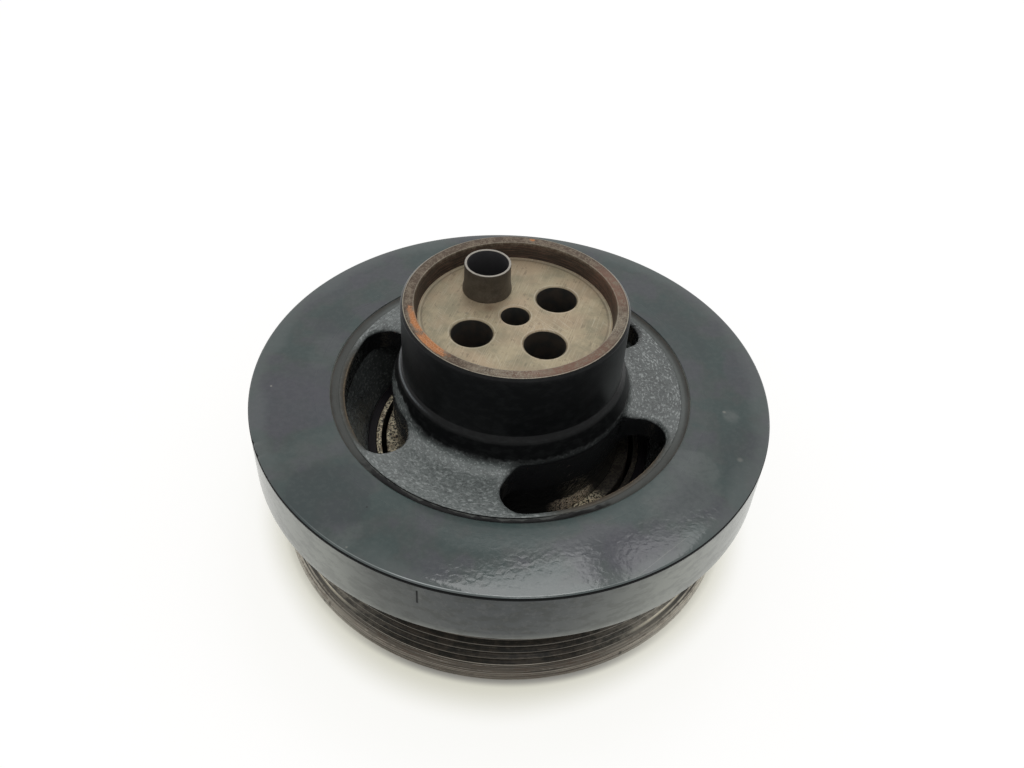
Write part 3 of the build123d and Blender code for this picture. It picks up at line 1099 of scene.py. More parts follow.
@dataclass(frozen=True)
class RingPaint:
    """Slate black paint on the inertia ring, rippled like orange peel and marked by water.

    Attributes:
        stains: Water stains on the top, each as radius, angle, half-sizes across and along,
            softness, raggedness, number of its tint and its share.
        specks: Small bright marks, each as radius, angle, reach and share.
        nick: Radius, angle and middle height of the notch in the outer wall.
    """

    paint: Colour = (0.042, 0.057, 0.054)
    tints: tuple[Colour, ...] = (
        (0.031, 0.055, 0.052), (0.057, 0.057, 0.072), (0.090, 0.108, 0.103), (0.024, 0.037, 0.039),
    )
    side: Colour = (0.088, 0.098, 0.094)
    smudge: Colour = (0.062, 0.069, 0.058)
    # film: pale colour of the painted reflection laid on the side
    film: Colour = (0.455, 0.475, 0.395)
    pale: Colour = (0.075, 0.085, 0.083)
    speck: Colour = (0.30, 0.29, 0.26)
    black: Colour = (0.004, 0.004, 0.004)
    outer_tone: Colour = (0.13, 0.145, 0.142)
    edge_highlight: Colour = (0.44, 0.47, 0.47)
    nick: Triple = (85.0, 254.9, 48.1)
    stains: tuple[tuple[float, float, float, float, float, float, int, float], ...] = (
        (72.0, 194.0, 15.0, 10.0, 0.15, 0.9, 1, 0.75), (67.0, 211.0, 11.0, 6.0, 0.45, 1.4, 2, 0.32),
        (73.0, 226.0, 13.0, 9.5, 0.12, 0.8, 3, 0.70), (81.5, 237.6, 5.5, 2.2, 0.55, 1.6, 2, 0.55),
        (76.0, 299.5, 9.5, 5.5, 0.25, 1.3, 1, 0.80), (68.0, 322.0, 9.0, 13.5, 0.20, 0.9, 2, 0.46),
        (66.0, 331.0, 8.0, 5.0, 0.08, 0.7, 2, 0.50),
        (78.0, 341.0, 7.0, 9.0, 0.25, 0.9, 3, 0.45), (71.5, 352.0, 2.6, 2.0, 0.45, 2.4, 2, 0.80),
        (79.0, 8.0, 6.0, 9.0, 0.2, 0.9, 1, 0.60), (68.0, 158.0, 6.0, 8.0, 0.2, 0.9, 3, 0.50),
        (64.0, 172.0, 5.0, 8.0, 0.2, 0.9, 2, 0.30), (79.0, 140.0, 6.0, 12.0, 0.3, 0.9, 1, 0.5),
        (66.0, 30.0, 8.0, 16.0, 0.2, 0.9, 3, 0.40),
    )
    specks: tuple[tuple[float, float, float, float], ...] = (
        (78.1, 186.6, 0.30, 0.9), (77.8, 338.1, 0.8, 0.3), (70.2, 353.3, 0.5, 0.5), (81.0, 262.0, 0.25, 0.4),
        (83.1, 239.0, 0.3, 0.4),
    )

    def make(self) -> Material:
        """Makes the material, with its few marks in their places.

        Returns:
            The material.
        """
        coat = Coat("ring_paint")
        cloud = coat.noise(30.0, detail=2, shift=3)
        tint = coat.noise(15.0, detail=3, shift=41)
        fine = coat.noise(1.6, detail=4, rough=0.6, shift=61)
        teal, violet, light, dark = self.tints
        coat.colour = coat.mix(tint.above(0.53, 0.06), self.paint, teal)
        coat.lay(tint.below(0.45, 0.05) * 0.6, violet)
        for radius, degrees, across, along, soft, ragged, number, share in self.stains:
            patch = coat.stain(radius, degrees, across, along, soft, ragged)
            coat.lay(patch * (fine * 0.6 + 0.7) * share, self.tints[number])
        coat.lay(fine.above(0.56, 0.08) * 0.16, light)
        coat.lay(fine.below(0.42, 0.08) * 0.22, dark)
        shaded = coat.side(229.0, 14.0, 8.0).flip()
        # The top is laid lighter towards its outer edge, except on the side at 229 degrees.
        outer = (coat.radius() + (tint - 0.5) * 14.0).above(80.5, 3.0) * shaded
        coat.lay(outer * 0.38, self.outer_tone)
        # Painted highlight along the top's outer edge, brightest at the front left, partly rubbed paint.
        bright = coat.side(256.5, 7.0, 4.0) * 0.55 + coat.side(262.0, 30.0, 14.0) * 0.40
        coat.lay(coat.radius().near(84.2, 0.13, 0.08) * bright, self.edge_highlight)
        top = coat.upward().above(0.5, 0.3)
        streaks = coat.grain(2.6, 4.2, 2.6, detail=4, rough=0.6, shift=91)
        grubby = streaks.above(0.53, 0.09)
        coat.lay(top.flip() * 0.97, coat.mix(grubby * 0.8, self.side, self.smudge))
        smear = coat.grain(2.0, 9.0, 3.0, detail=4, shift=5).above(0.6, 0.1)
        coat.lay(smear * 0.10, self.pale)
        # Painted reflection: the side turns pale as it turns away from the view, standing in for the bright
        # floor it mirrors.
        grazing_sheen = top.flip() * coat.glancing().above(0.537, 0.115) * (grubby * -0.25 + 1.0)
        coat.lay(grazing_sheen, self.film)
        wiped = top.flip() * coat.side(248.0, 6.0, 9.0)
        coat.lay(wiped * 0.42, self.smudge)
        coat.lay(top.flip() * fine.above(0.57, 0.06) * 0.14, self.speck)
        for radius, degrees, reach, share in self.specks:
            coat.lay(coat.spot(radius, degrees, reach, reach * 0.7) * share, self.speck)
        radius, degrees, height = self.nick
        nick = coat.line(polar(radius, degrees - 0.1), polar(radius, degrees + 0.1), 0.14)
        nick = nick * coat.z.near(height, 2.9, 0.3)
        coat.lay(coat.spot(68.9, 235.2, 0.25, 0.15).most(nick), self.black)
        mark = coat.line(polar(84.0, 297.0), polar(80.3, 312.0), 0.09)
        mark = mark.most(coat.line(polar(82.8, 300.0), polar(80.9, 306.0), 0.07))
        coat.lay(mark * 0.22, self.speck)
        ripple = coat.noise(1.8, detail=1.5, rough=0.4, warp=0.5)
        rolling = coat.noise(7.0, detail=1.5, shift=29)
        coat.bump(ripple * top, 0.019)
        coat.bump(rolling * (top * 0.8 + 0.2), 0.008)
        inner = coat.radius().below(67.0, 5.0) * top
        return coat.finish(cloud * 0.05 + smear * 0.03 + top.flip() * 0.12 + inner * 0.22 + 0.05,
                           shine=top * 0.3 + nick * -0.2 + 0.2)


@dataclass(frozen=True)
class RingEdge:
    """The outer edge of the inertia ring: near-black as painted shade for the chamfer's dark reflection, with
    nicks to the metal.
    """

    dull: Colour = (0.0050, 0.0055, 0.0055)
    metal: Colour = (0.10, 0.09, 0.075)

    def make(self) -> Material:
        """Makes the material.

        Returns:
            The material.
        """
        coat = Coat("ring_edge")
        wear = coat.grain(1.0, 3.5, 1.0, detail=5, rough=0.65)
        nick = wear.above(0.70, 0.04)
        # Painted shade: the edge band is laid near-black where the chamfer would mirror the dark room.
        coat.colour = coat.mix(nick * 0.6, self.dull, self.metal)
        coat.bump(nick, -0.05)
        coat.bump(coat.noise(0.7, detail=3), 0.02)
        return coat.finish(wear * 0.2 + 0.32, 0.0, 0.06)


@dataclass(frozen=True)
class SpringRubber:
    """Black rubber with a bloom of dust."""

    rubber: Colour = (0.008, 0.008, 0.008)
    bloom: Colour = (0.040, 0.036, 0.031)

    def make(self) -> Material:
        """Makes the material.

        Returns:
            The material.
        """
        coat = Coat("spring_rubber")
        cloud = coat.noise(2.4, detail=4, rough=0.6)
        grit = coat.noise(0.45, detail=3, shift=13)
        coat.colour = coat.mix((cloud * 0.6 + grit * 0.4).above(0.56, 0.1) * 0.6, self.rubber, self.bloom)
        coat.bump(cloud, 0.25)
        coat.bump(grit, 0.05)
        return coat.finish(cloud * 0.2 + 0.5)


@dataclass(frozen=True)
class TrackRubber:
    """The damper's rubber track: black in front, as bare rubber and painted shade, and painted over the rest
    of the way.

    Attributes:
        dark_middle: Angle of the middle of the dark stretch, bare rubber darkened further as painted shade.
        dark_reach: Half its angle.
        inner: Radius of the track's inner edge.
        outer: Radius of its outer edge.
    """

    rubber: Colour = (0.010, 0.010, 0.010)
    paint: Colour = (0.082, 0.086, 0.080)
    soil: Colour = (0.070, 0.055, 0.042)
    powder_and_light: Colour = (0.155, 0.170, 0.165)
    dark_middle: float = 262.0
    dark_reach: float = 38.0
    inner: float = 56.5
    outer: float = 59.2

    def make(self) -> Material:
        """Makes the material, with drips of paint across the edges of the track.

        Returns:
            The material.
        """
        coat = Coat("track_rubber")
        radius = coat.radius()
        drip = coat.noise(3.2, detail=3, rough=0.5)
        grit = coat.noise(0.6, detail=3, shift=13)
        # In front the track is left black: bare rubber, and painted shade as well.
        bare = coat.side(self.dark_middle, self.dark_reach, 14.0)
        depth = (drip - 0.35) * 2.2
        near_edge = radius.below(depth + self.inner, 0.14).most(radius.above(self.outer - 0.55, 0.25))
        painted = near_edge.most((bare.flip() * 1.5 + (drip - 0.5) * 1.2).above(0.8, 0.25))
        coat.colour = coat.mix(painted * 0.9, self.rubber, self.paint)
        # Lighter specks on the back half by the inner edge: dust, and painted light where this side faces the
        # lamps.
        powder_and_light = coat.side(65.0, 85.0, 12.0) * radius.below(self.inner + 1.3, 0.5)
        coat.lay(powder_and_light * (grit * 0.6 + 0.3), self.powder_and_light)
        brown = radius.near(self.outer - 0.35, 0.2, 0.25) * bare.flip() * grit.above(0.42, 0.12)
        coat.lay(brown * 0.65, self.soil)
        coat.bump(drip, 0.30)
        coat.bump(grit, 0.04)
        return coat.finish(0.5, 0.0, 0.22)


@dataclass(frozen=True)
class OiledSteel:
    """Turned steel under old oil: bare in streaks, with a dark film and brown stains in patches.

    Attributes:
        name: The material's name.
        steel: Colour of the metal where no film covers it.
        oil: Colour of the dark film.
        rust: Colour of the brown stains.
        cover: Share of the surface under the dark film.
        stained: Share of it that is brown.
        rough: Roughness of the film.
        metallic: How far the film lets the metal show.
    """

    name: str
    steel: Colour
    oil: Colour
    rust: Colour
    cover: float = 0.6
    stained: float = 0.3
    rough: float = 0.3
    metallic: float = 0.7

    def make(self) -> Material:
        """Makes the material.

        Returns:
            The material.
        """
        coat = Coat(self.name)
        turning = coat.grain(0.25, 26.0, 0.22, detail=3)
        streak = coat.grain(0.8, 20.0, 0.38, detail=4, rough=0.6, shift=2)
        cloud = coat.noise(4.0, detail=5, rough=0.65, shift=19)
        film = (streak * 0.8 + cloud * 0.2).above(0.62 - self.cover * 0.24, 0.14)
        stain = (cloud * 0.45 + streak * 0.55).above(0.64 - self.stained * 0.24, 0.1)
        coat.colour = coat.mix(film * 0.85 + 0.1, self.steel, self.oil)
        coat.lay(stain * 0.6, self.rust)
        bare = film.flip()
        coat.bump(turning, 0.02)
        coat.bump(cloud, 0.03)
        rough = stain * 0.2 + turning * 0.1 + self.rough
        return coat.finish(rough, bare * (self.metallic * 0.3) + self.metallic * 0.7, 0.35)


@dataclass(frozen=True)
class GroovedSteel:
    """The pulley's rim: black oil in the grooves, fine bright crests and brown, rubbed flanges.

    Attributes:
        crest: Radius of the bright crests between the grooves.
        low_land: Height below which the lower flange lies.
        high_land: Height above which the upper one lies.
        rim_inner: Radius that parts the rim from the web.
        front: Angle of the middle of the dark front, where no painted light is laid.
        seams: Dark lines round the rim, each as height, reach and softness.
        gleams: Bright lines round the lower flange, likewise.
        lips: Bright edges of that flange, likewise.
        chips: Chips in the flanges, each as angle and height.
    """

    oil: Colour = (0.024, 0.023, 0.019)
    brown: Colour = (0.056, 0.046, 0.035)
    land: Colour = (0.170, 0.148, 0.118)
    rust: Colour = (0.100, 0.068, 0.048)
    steel: Colour = (0.56, 0.51, 0.42)
    painted_sheen: Colour = (0.72, 0.67, 0.55)
    flank_highlight: Colour = (0.92, 0.86, 0.70)
    crest: float = 75.88
    low_land: float = 5.15
    high_land: float = 26.4
    rim_inner: float = 72.0
    front: float = 268.0
    seams: tuple[Triple, ...] = ((2.35, 0.10, 0.10), (4.55, 0.12, 0.1), (8.45, 0.12, 0.1))
    gleams: tuple[Triple, ...] = ((1.55, 0.09, 0.08), (3.2, 0.09, 0.08))
    lips: tuple[Triple, ...] = ((3.95, 0.14, 0.1), (0.75, 0.12, 0.1))
    chips: tuple[Pair, ...] = ((219.8, 2.4), (223.6, 1.4), (226.0, 3.0), (300.5, 2.6))

    def make(self) -> Material:
        """Makes the material: dark in front, and pale towards the sides with painted light.

        Returns:
            The material.
        """
        coat = Coat("pulley_steel")
        radius = coat.radius()
        turning = coat.grain(0.22, 22.0, 0.17, detail=4, rough=0.6)
        streak = coat.grain(0.8, 9.0, 0.5, detail=4, rough=0.6, shift=2)
        cloud = coat.noise(2.6, detail=5, rough=0.65, shift=19)
        grime = streak * 0.5 + cloud * 0.5
        turn = coat.angle(self.front).size()
        # Painted light and reflection: the rim turns pale towards the sides, where light and the floor's
        # reflection fall on it.
        painted_lit = turn.above(40.0, 22.0) * (turn.above(105.0, 25.0) * -0.7 + 1.0)
        outside = radius.above(self.rim_inner, 0.2)
        coat.colour = coat.mix(grime.above(0.5, 0.08), self.oil, self.brown)
        coat.lay(painted_lit * outside * (grime.above(0.48, 0.08) * 0.5 + 0.22), self.painted_sheen)
        # Painted highlight: a pale band on the flank above the lower flange, only on the sides where light
        # catches it.
        low = coat.z.near(6.95, 1.5, 0.2) * outside * turn.near(51.0, 11.0, 8.0)
        coat.lay(low * grime.below(0.62, 0.08) * 0.97, self.flank_highlight)
        line = coat.z.bands(*self.seams)
        land = coat.z.below(self.low_land, 0.2).most(coat.z.above(self.high_land, 0.2))
        land = land * radius.above(76.0, 0.15)
        coat.lay(land * (turning * 0.9 + painted_lit * 0.2 + 0.3), coat.mix(painted_lit, self.land, self.painted_sheen))
        coat.lay(land * grime.above(0.53, 0.04) * 0.55, self.rust)
        coat.lay(turning.above(0.59, 0.04) * cloud.above(0.48, 0.1) * (land * 0.55 + 0.10), self.steel)
        coat.lay(turning.below(0.40, 0.03) * (land * 0.25 + 0.5), self.oil)
        crest = radius.near(self.crest, 0.07, 0.05) * coat.z.near(15.8, 11.0, 0.4) * turning.above(0.36, 0.1)
        lip = radius.above(78.05, 0.06) * coat.z.bands(*self.lips)
        web = coat.z.above(20.0, 3.0) * radius.below(self.rim_inner, 0.2)
        coat.lay(web * 0.8, self.oil)
        edge = crest * 0.8 + lip * turning.above(0.40, 0.1) * 0.7
        coat.lay(edge, self.steel)
        dark_line = coat.z.near(5.2, 0.28, 0.12).most(line) * outside * (painted_lit * 0.85 + 0.15)
        coat.lay(dark_line, self.oil)
        bright_line = coat.z.bands(*self.gleams) * turning.above(0.40, 0.1)
        coat.lay(bright_line * land * 0.75, self.steel)
        for degrees, level in self.chips:
            chip = coat.side(degrees, 0.35, 0.4) * coat.z.near(level, 0.9, 0.5) * land
            coat.lay(chip * cloud.above(0.35, 0.1) * 0.9, self.oil)
        coat.bump(turning, 0.02)
        coat.bump(cloud, 0.04)
        return coat.finish(turning * 0.12 + 0.22, crest * 0.3, painted_lit * 0.15 + 0.14)


@dataclass(frozen=True)
class PittedSteel:
    """Steel gone pale with dust and speckled with dark pits, laid near-black as painted shade outside the lit
    places and low down.

    Attributes:
        name: The material's name.
        painted_lit: Angles between which it is lit and pale, each as the middle and half the spread.
    """

    name: str = "pitted_steel"
    pale: Colour = (0.88, 0.78, 0.56)
    brown: Colour = (0.24, 0.15, 0.08)
    pit: Colour = (0.014, 0.011, 0.009)
    oil: Colour = (0.009, 0.007, 0.006)
    painted_lit: tuple[Pair, ...] = ((190.0, 32.0), (312.5, 7.5), (60.0, 30.0))

    def make(self) -> Material:
        """Makes the material.

        Returns:
            The material.
        """
        coat = Coat(self.name)
        cloud = coat.noise(3.0, detail=5, rough=0.62)
        fleck = coat.noise(0.85, detail=4, rough=0.7, shift=29)
        pits = fleck.above(0.515, 0.02)
        coat.colour = coat.mix(cloud.above(0.56, 0.1) * 0.8, self.pale, self.brown)
        painted_lit = coat.z.above(27.0, 1.0)
        shown = coat.sides(*((middle, reach, 5.0) for middle, reach in self.painted_lit))
        # Painted shade: outside the lit angles and below 27 mm the steel is laid near-black.
        coat.lay((painted_lit * shown).flip() * (fleck * 0.2 + 0.85), self.oil)
        coat.lay(pits * 0.95, self.pit)
        coat.bump(pits, -0.10)
        coat.bump(fleck, 0.06)
        return coat.finish(0.55, 0.15)


@dataclass(frozen=True)
class WornPolymer:
    """Dark bearing polymer, rubbed in circles."""

    polymer: Colour = (0.007, 0.006, 0.008)
    rubbed: Colour = (0.016, 0.013, 0.014)

    def make(self) -> Material:
        """Makes the material.

        Returns:
            The material.
        """
        coat = Coat("bearing_polymer")
        rub = coat.grain(0.4, 20.0, 0.6, detail=4)
        coat.colour = coat.mix(rub.above(0.53, 0.1) * 0.7, self.polymer, self.rubbed)
        coat.bump(rub, 0.02)
        coat.bump(coat.noise(0.5, detail=3), 0.02)
        return coat.finish(rub * 0.2 + 0.4, 0.0, 0.15)


@dataclass(frozen=True)
class SleeveSteel:
    """Dark phosphated sleeve, rubbed light on its upper rim and dark inside."""

    dark: Colour = (0.060, 0.049, 0.036)
    light: Colour = (0.090, 0.076, 0.058)
    edge: Colour = (0.46, 0.43, 0.38)
    inside: Colour = (0.065, 0.063, 0.066)
    axis: Pair = (-9.517, 12.862)
    bore: float = 6.72
    top: float = 92.34

    def make(self) -> Material:
        """Makes the material.

        Returns:
            The material.
        """
        coat = Coat("sleeve_steel")
        radius = coat.radius(self.axis)
        cloud = coat.noise(2.2, detail=4, rough=0.6)
        fine = coat.noise(0.5, detail=3, shift=3)
        coat.colour = coat.mix((cloud * 0.6 + fine * 0.4).above(0.52, 0.14), self.dark, self.light)
        coat.lay(coat.z.above(90.2, 1.4) * 0.35, self.dark)
        coat.lay(radius.below(self.bore, 0.06) * coat.z.below(self.top, 0.1), self.inside)
        rim = coat.z.above(self.top, 0.06) * fine.above(0.3, 0.2)
        coat.lay(rim * 0.7, self.edge)
        coat.bump(fine, 0.02)
        coat.bump(cloud, 0.04)
        return coat.finish(cloud * 0.15 + 0.36, 0.35)


# ---------------------------------------------------------------------------------- assemblies
class HubSide(Enum):
    """Regions of the hub that have a finish of their own."""

    PAINT = 0
    RIM = 1
    FLOOR = 2
    BARE = 3
    HOLE = 4


def as_piece(obj: bpy.types.Object, node: str) -> None:
    """Lets an object stand for a CAD node and reports it.

    Args:
        obj: The object.
        node: The CAD node's name.
    """
    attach(obj, BODY)
    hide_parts(node)
    _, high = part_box(node)
    own = np.array([v.co for v in obj.data.vertices])
    log.info("%s: %d faces, proud of its solid by %.3f mm", node, len(obj.data.polygons),
             max(float((Vector(own.max(0)) - high)[i]) for i in range(3)) / MM)


@dataclass(frozen=True)
class Hub:
    """The cast hub: neck with its recess, web with three windows, rim, barrel and bearing bore.

    Attributes:
        segments: Columns round the axis.
        start: Angle of the first column, which the sectors' columns share.
        web_under: Inner and outer radius of the web's underside.
        web_wall: Heights of the rows on the windows' walls.
        painted_from: Height above which the rim is painted.
        bore_mouth: Radius of the centre bore at the floor, above its edge's foot at mouth_foot.
        bolt_half: Radius of the bolt holes.
        sleeve_seat: Height of the sleeve's foot, which stands sleeve_step outside its bolt hole.
        ledge: Corners of the ledge on the neck, each as radius, height and rounding.
        neck_edge: Radius and height where the neck's upper edge is turned off.
        recess: Radius of the recess at its foot and at its mouth.
        waviness: How far the rough casting wanders from its plain shape.
        ripples: The noises it wanders by, each as seed, wavelength and weight.
        cast_from: Heights between which the rough casting sets in, and cast_to where it ends.
        cast_inner: Radii between which it sets in, and cast_outer where it ends.
        notch: Angle of the small notch in the neck's rim, its half-angle and its depth.
        rim_wear: How far outside a window's wall its wear has its middle, and how far it reaches.
    """

    segments: int = 240
    start: float = 0.5
    web_inner: float = 38.6
    web_outer: float = 56.1
    web_bottom: float = 45.06
    web_under: Pair = (38.85, 54.75)
    web_wall: tuple[float, ...] = (46.5, 48.0, 49.5, 51.0, 52.5, 54.0)
    rim_radius: float = 56.5
    rim_top: float = 53.06
    rim_foot: float = 33.06
    painted_from: float = 45.0
    skirt_bore: float = 48.3
    skirt_radius: float = 54.0
    skirt_foot: float = 11.0
    skirt_top: float = 29.5
    barrel: float = 38.0
    barrel_foot: float = 2.4
    cup: float = 28.5
    cup_flat: float = 26.0
    window_radius: float = 46.8
    window_half_width: float = 7.6
    windows: tuple[Pair, ...] = ((66.5, 27.15), (186.5, 27.15), (306.5, 28.6))
    lip: float = 2.0
    floor_outer: float = 30.1
    floor_top: float = 82.36
    floor_bottom: float = 69.36
    bore: float = 4.5
    bore_mouth: float = 4.9
    mouth_foot: float = 81.96
    bolt_radius: float = 16.0
    bolt_half: float = 6.5
    bolts: tuple[float, ...] = (36.5, 126.5, 216.5, 306.5)
    sleeve_bolt: float = 126.5
    sleeve_seat: float = 74.36
    sleeve_step: float = 1.4
    ledge: tuple[Triple, ...] = (
        (37.25, 62.0, 2.0), (36.75, 63.5, 0.5), (35.9, 64.4, 0.5), (35.5, 64.9, 0.5),
    )
    neck_radius: float = 35.5
    neck_edge: Pair = (34.75, 87.11)
    neck_top: float = 87.86
    recess: Pair = (30.4, 31.4)
    waviness: float = 0.16
    ripples: tuple[tuple[int, float, float], ...] = ((4, 6.5, 0.7), (8, 3.2, 0.4))
    cast_from: Pair = (45.5, 48.0)
    cast_to: Pair = (62.5, 64.0)
    cast_inner: Pair = (36.4, 38.5)
    cast_outer: Pair = (54.6, 56.2)
    notch: Triple = (83.0, 1.3, 0.35)
    rim_wear: Pair = (0.6, 2.6)

    def foot(self) -> Callable[[Array], Array]:
        """The web's upper side and the neck's flared foot.

        Returns:
            A function from radii to heights.
        """
        profile, _ = rounded(
            [Corner(*self.ledge[0][:2]), Corner(40.0, 53.75, 5.0), Corner(self.rim_radius, self.rim_top)],
            closed=False, step=3.0,
        )
        return lambda radius: np.interp(radius, profile[:, 0], profile[:, 1])

    def patches(self) -> list[Patch]:
        """The turned strips and the pierced sectors, which meet along the sectors' edges.

        Returns:
            The hub's grids.
        """
        paint, rim, floor, bare, hole = (side.value for side in HubSide)
        height = self.foot()
        under, (under_inner, under_outer) = self.web_bottom, self.web_under
        recess_foot, recess_mouth = self.recess
        edge_radius, edge_foot = self.neck_edge
        profiles = [
            [
                Corner(under_outer, under, region=paint), Corner(self.skirt_bore, self.skirt_top, 0.3, bare),
                Corner(self.skirt_bore, self.skirt_foot, 0.2, bare),
                Corner(self.skirt_radius, self.skirt_foot, 0.2, bare),
                Corner(self.skirt_radius, self.rim_foot, 0.15, bare),
                Corner(self.rim_radius, self.rim_foot, 0.2, bare),
                Corner(self.rim_radius, self.painted_from, 0.0, paint),
                Corner(self.rim_radius, self.rim_top, 0.35, paint),
                Corner(self.web_outer, float(height(self.web_outer)), region=paint),
            ],
            [
                Corner(self.web_inner, float(height(self.web_inner)), region=paint),
                *(Corner(*corner, paint) for corner in self.ledge),
                Corner(self.neck_radius, edge_foot, 0.3, paint), Corner(edge_radius, self.neck_top, 0.3, rim),
                Corner(recess_mouth, self.neck_top, 0.15, rim),
                Corner(recess_foot, self.floor_top, 0.25, floor),
                Corner(self.floor_outer, self.floor_top, region=floor),
            ],
            [
                Corner(self.bore_mouth, self.floor_top, region=floor),
                Corner(self.bore, self.mouth_foot, 0.1, hole),
                Corner(self.bore, self.floor_bottom, region=hole),
            ],
            [
                Corner(self.cup_flat, self.floor_bottom, region=bare),
                Corner(self.cup, self.floor_bottom, 2.5, bare), Corner(self.cup, self.barrel_foot, 0.5, bare),
                Corner(self.barrel, self.barrel_foot, 0.5, bare),
                Corner(self.barrel, self.skirt_top, 0.0, paint), Corner(under_inner, under, region=paint),
            ],
        ]
        patches = [turned(profile, self.segments, closed=False, longest=1.6, start=self.start)
                   for profile in profiles]
        wall = [(0.0, z, paint) for z in (under, *self.web_wall, math.inf)]
        for middle, reach in self.windows:
            web = PiercedSector(
                middle, 60.0, self.window_radius, reach, self.window_half_width,
                top=(self.web_inner, self.web_outer), bottom=self.web_under, bottom_height=under,
                columns_round=80, columns_out=24,
            )
            patches.append(web.patch(wall, height, (paint, paint), (6, 22), self.lip))
        for middle in self.bolts:
            plate = PiercedSector(
                middle, 45.0, self.bolt_radius, 0.0, self.bolt_half,
                top=(self.bore_mouth, self.floor_outer), bottom=(self.bore, self.cup_flat),
                bottom_height=self.floor_bottom, columns_round=60, columns_out=20,
            )
            bore = [(0.0, self.floor_bottom, hole)]
            if middle == self.sleeve_bolt:
                seat, step = self.sleeve_seat, self.sleeve_step
                bore += [(0.0, seat, hole), (step, seat, hole), (step, self.floor_top, floor)]
            else:
                bore += [(0.0, self.mouth_foot, floor), (0.4, self.floor_top, floor)]
            patches.append(plate.patch(
                bore, lambda radius: np.full_like(radius, self.floor_top), (bare, floor), (5, 10)))
        return patches

    def rim_nearness(self, points: Array) -> Array:
        """How near each point is to a window's upper rim.

        Args:
            points: The hub's vertices.

        Returns:
            1 on the rim's rounding, falling to 0 at 2.6 mm to each side of it.
        """
        nearness = np.zeros(len(points))
        middle_out, wear_reach = self.rim_wear
        for middle, reach in self.windows:
            turn = np.radians(middle + np.clip(angle_from(points, middle), -reach, reach))
            centre = self.window_radius * np.stack([np.cos(turn), np.sin(turn)], axis=-1)
            distance = np.linalg.norm(points[:, :2] - centre, axis=1) - self.window_half_width
            nearness = np.maximum(nearness, 1 - smooth(np.abs(distance - middle_out), 0.0, wear_reach))
        return nearness * smooth(points[:, 2], 49.5, 51.5) * smooth(radii(points), 41.5, 46.0)

    def build(self) -> bpy.types.Object:
        """Makes the hub with its wavy casting, the notch in its rim and the rims' wear.

        Returns:
            The hub's object.
        """
        skin = Skin.from_patches(self.patches())
        points = skin.points
        radius = radii(points)
        cast = plateau(points[:, 2], self.cast_from, self.cast_to)
        cast *= 1 - smooth(radius, *self.cast_outer)
        cast *= smooth(radius, *self.cast_inner)
        wander = sum(LatticeNoise(seed).at(points, size) * weight for seed, size, weight in self.ripples)
        degrees, reach, depth = self.notch
        notch = np.exp(-(angle_from(points, degrees) / reach) ** 2) * smooth(points[:, 2], 86.9, 87.3)
        notch *= smooth(radius, 34.2, 35.0)
        skin.swell(-self.waviness * cast * (wander + 1) * 0.6 - depth * notch)
        bare = OiledSteel("hub_bare", steel=(0.30, 0.26, 0.2), oil=(0.05, 0.036, 0.026),
                          rust=(0.12, 0.06, 0.03))
        finishes = {HubSide.PAINT: CastPaint(), HubSide.RIM: TurnedRim(), HubSide.FLOOR: ClampFloor(),
                    HubSide.BARE: bare, HubSide.HOLE: HoleSteel()}
        piece = skin.piece("cast_hub", [finishes[side].make() for side in HubSide])
        nearness = piece.data.attributes.new("rim", "FLOAT", "POINT")
        nearness.data.foreach_set("value", self.rim_nearness(skin.points).astype(np.float32))
        as_piece(piece, "hub")
        return piece


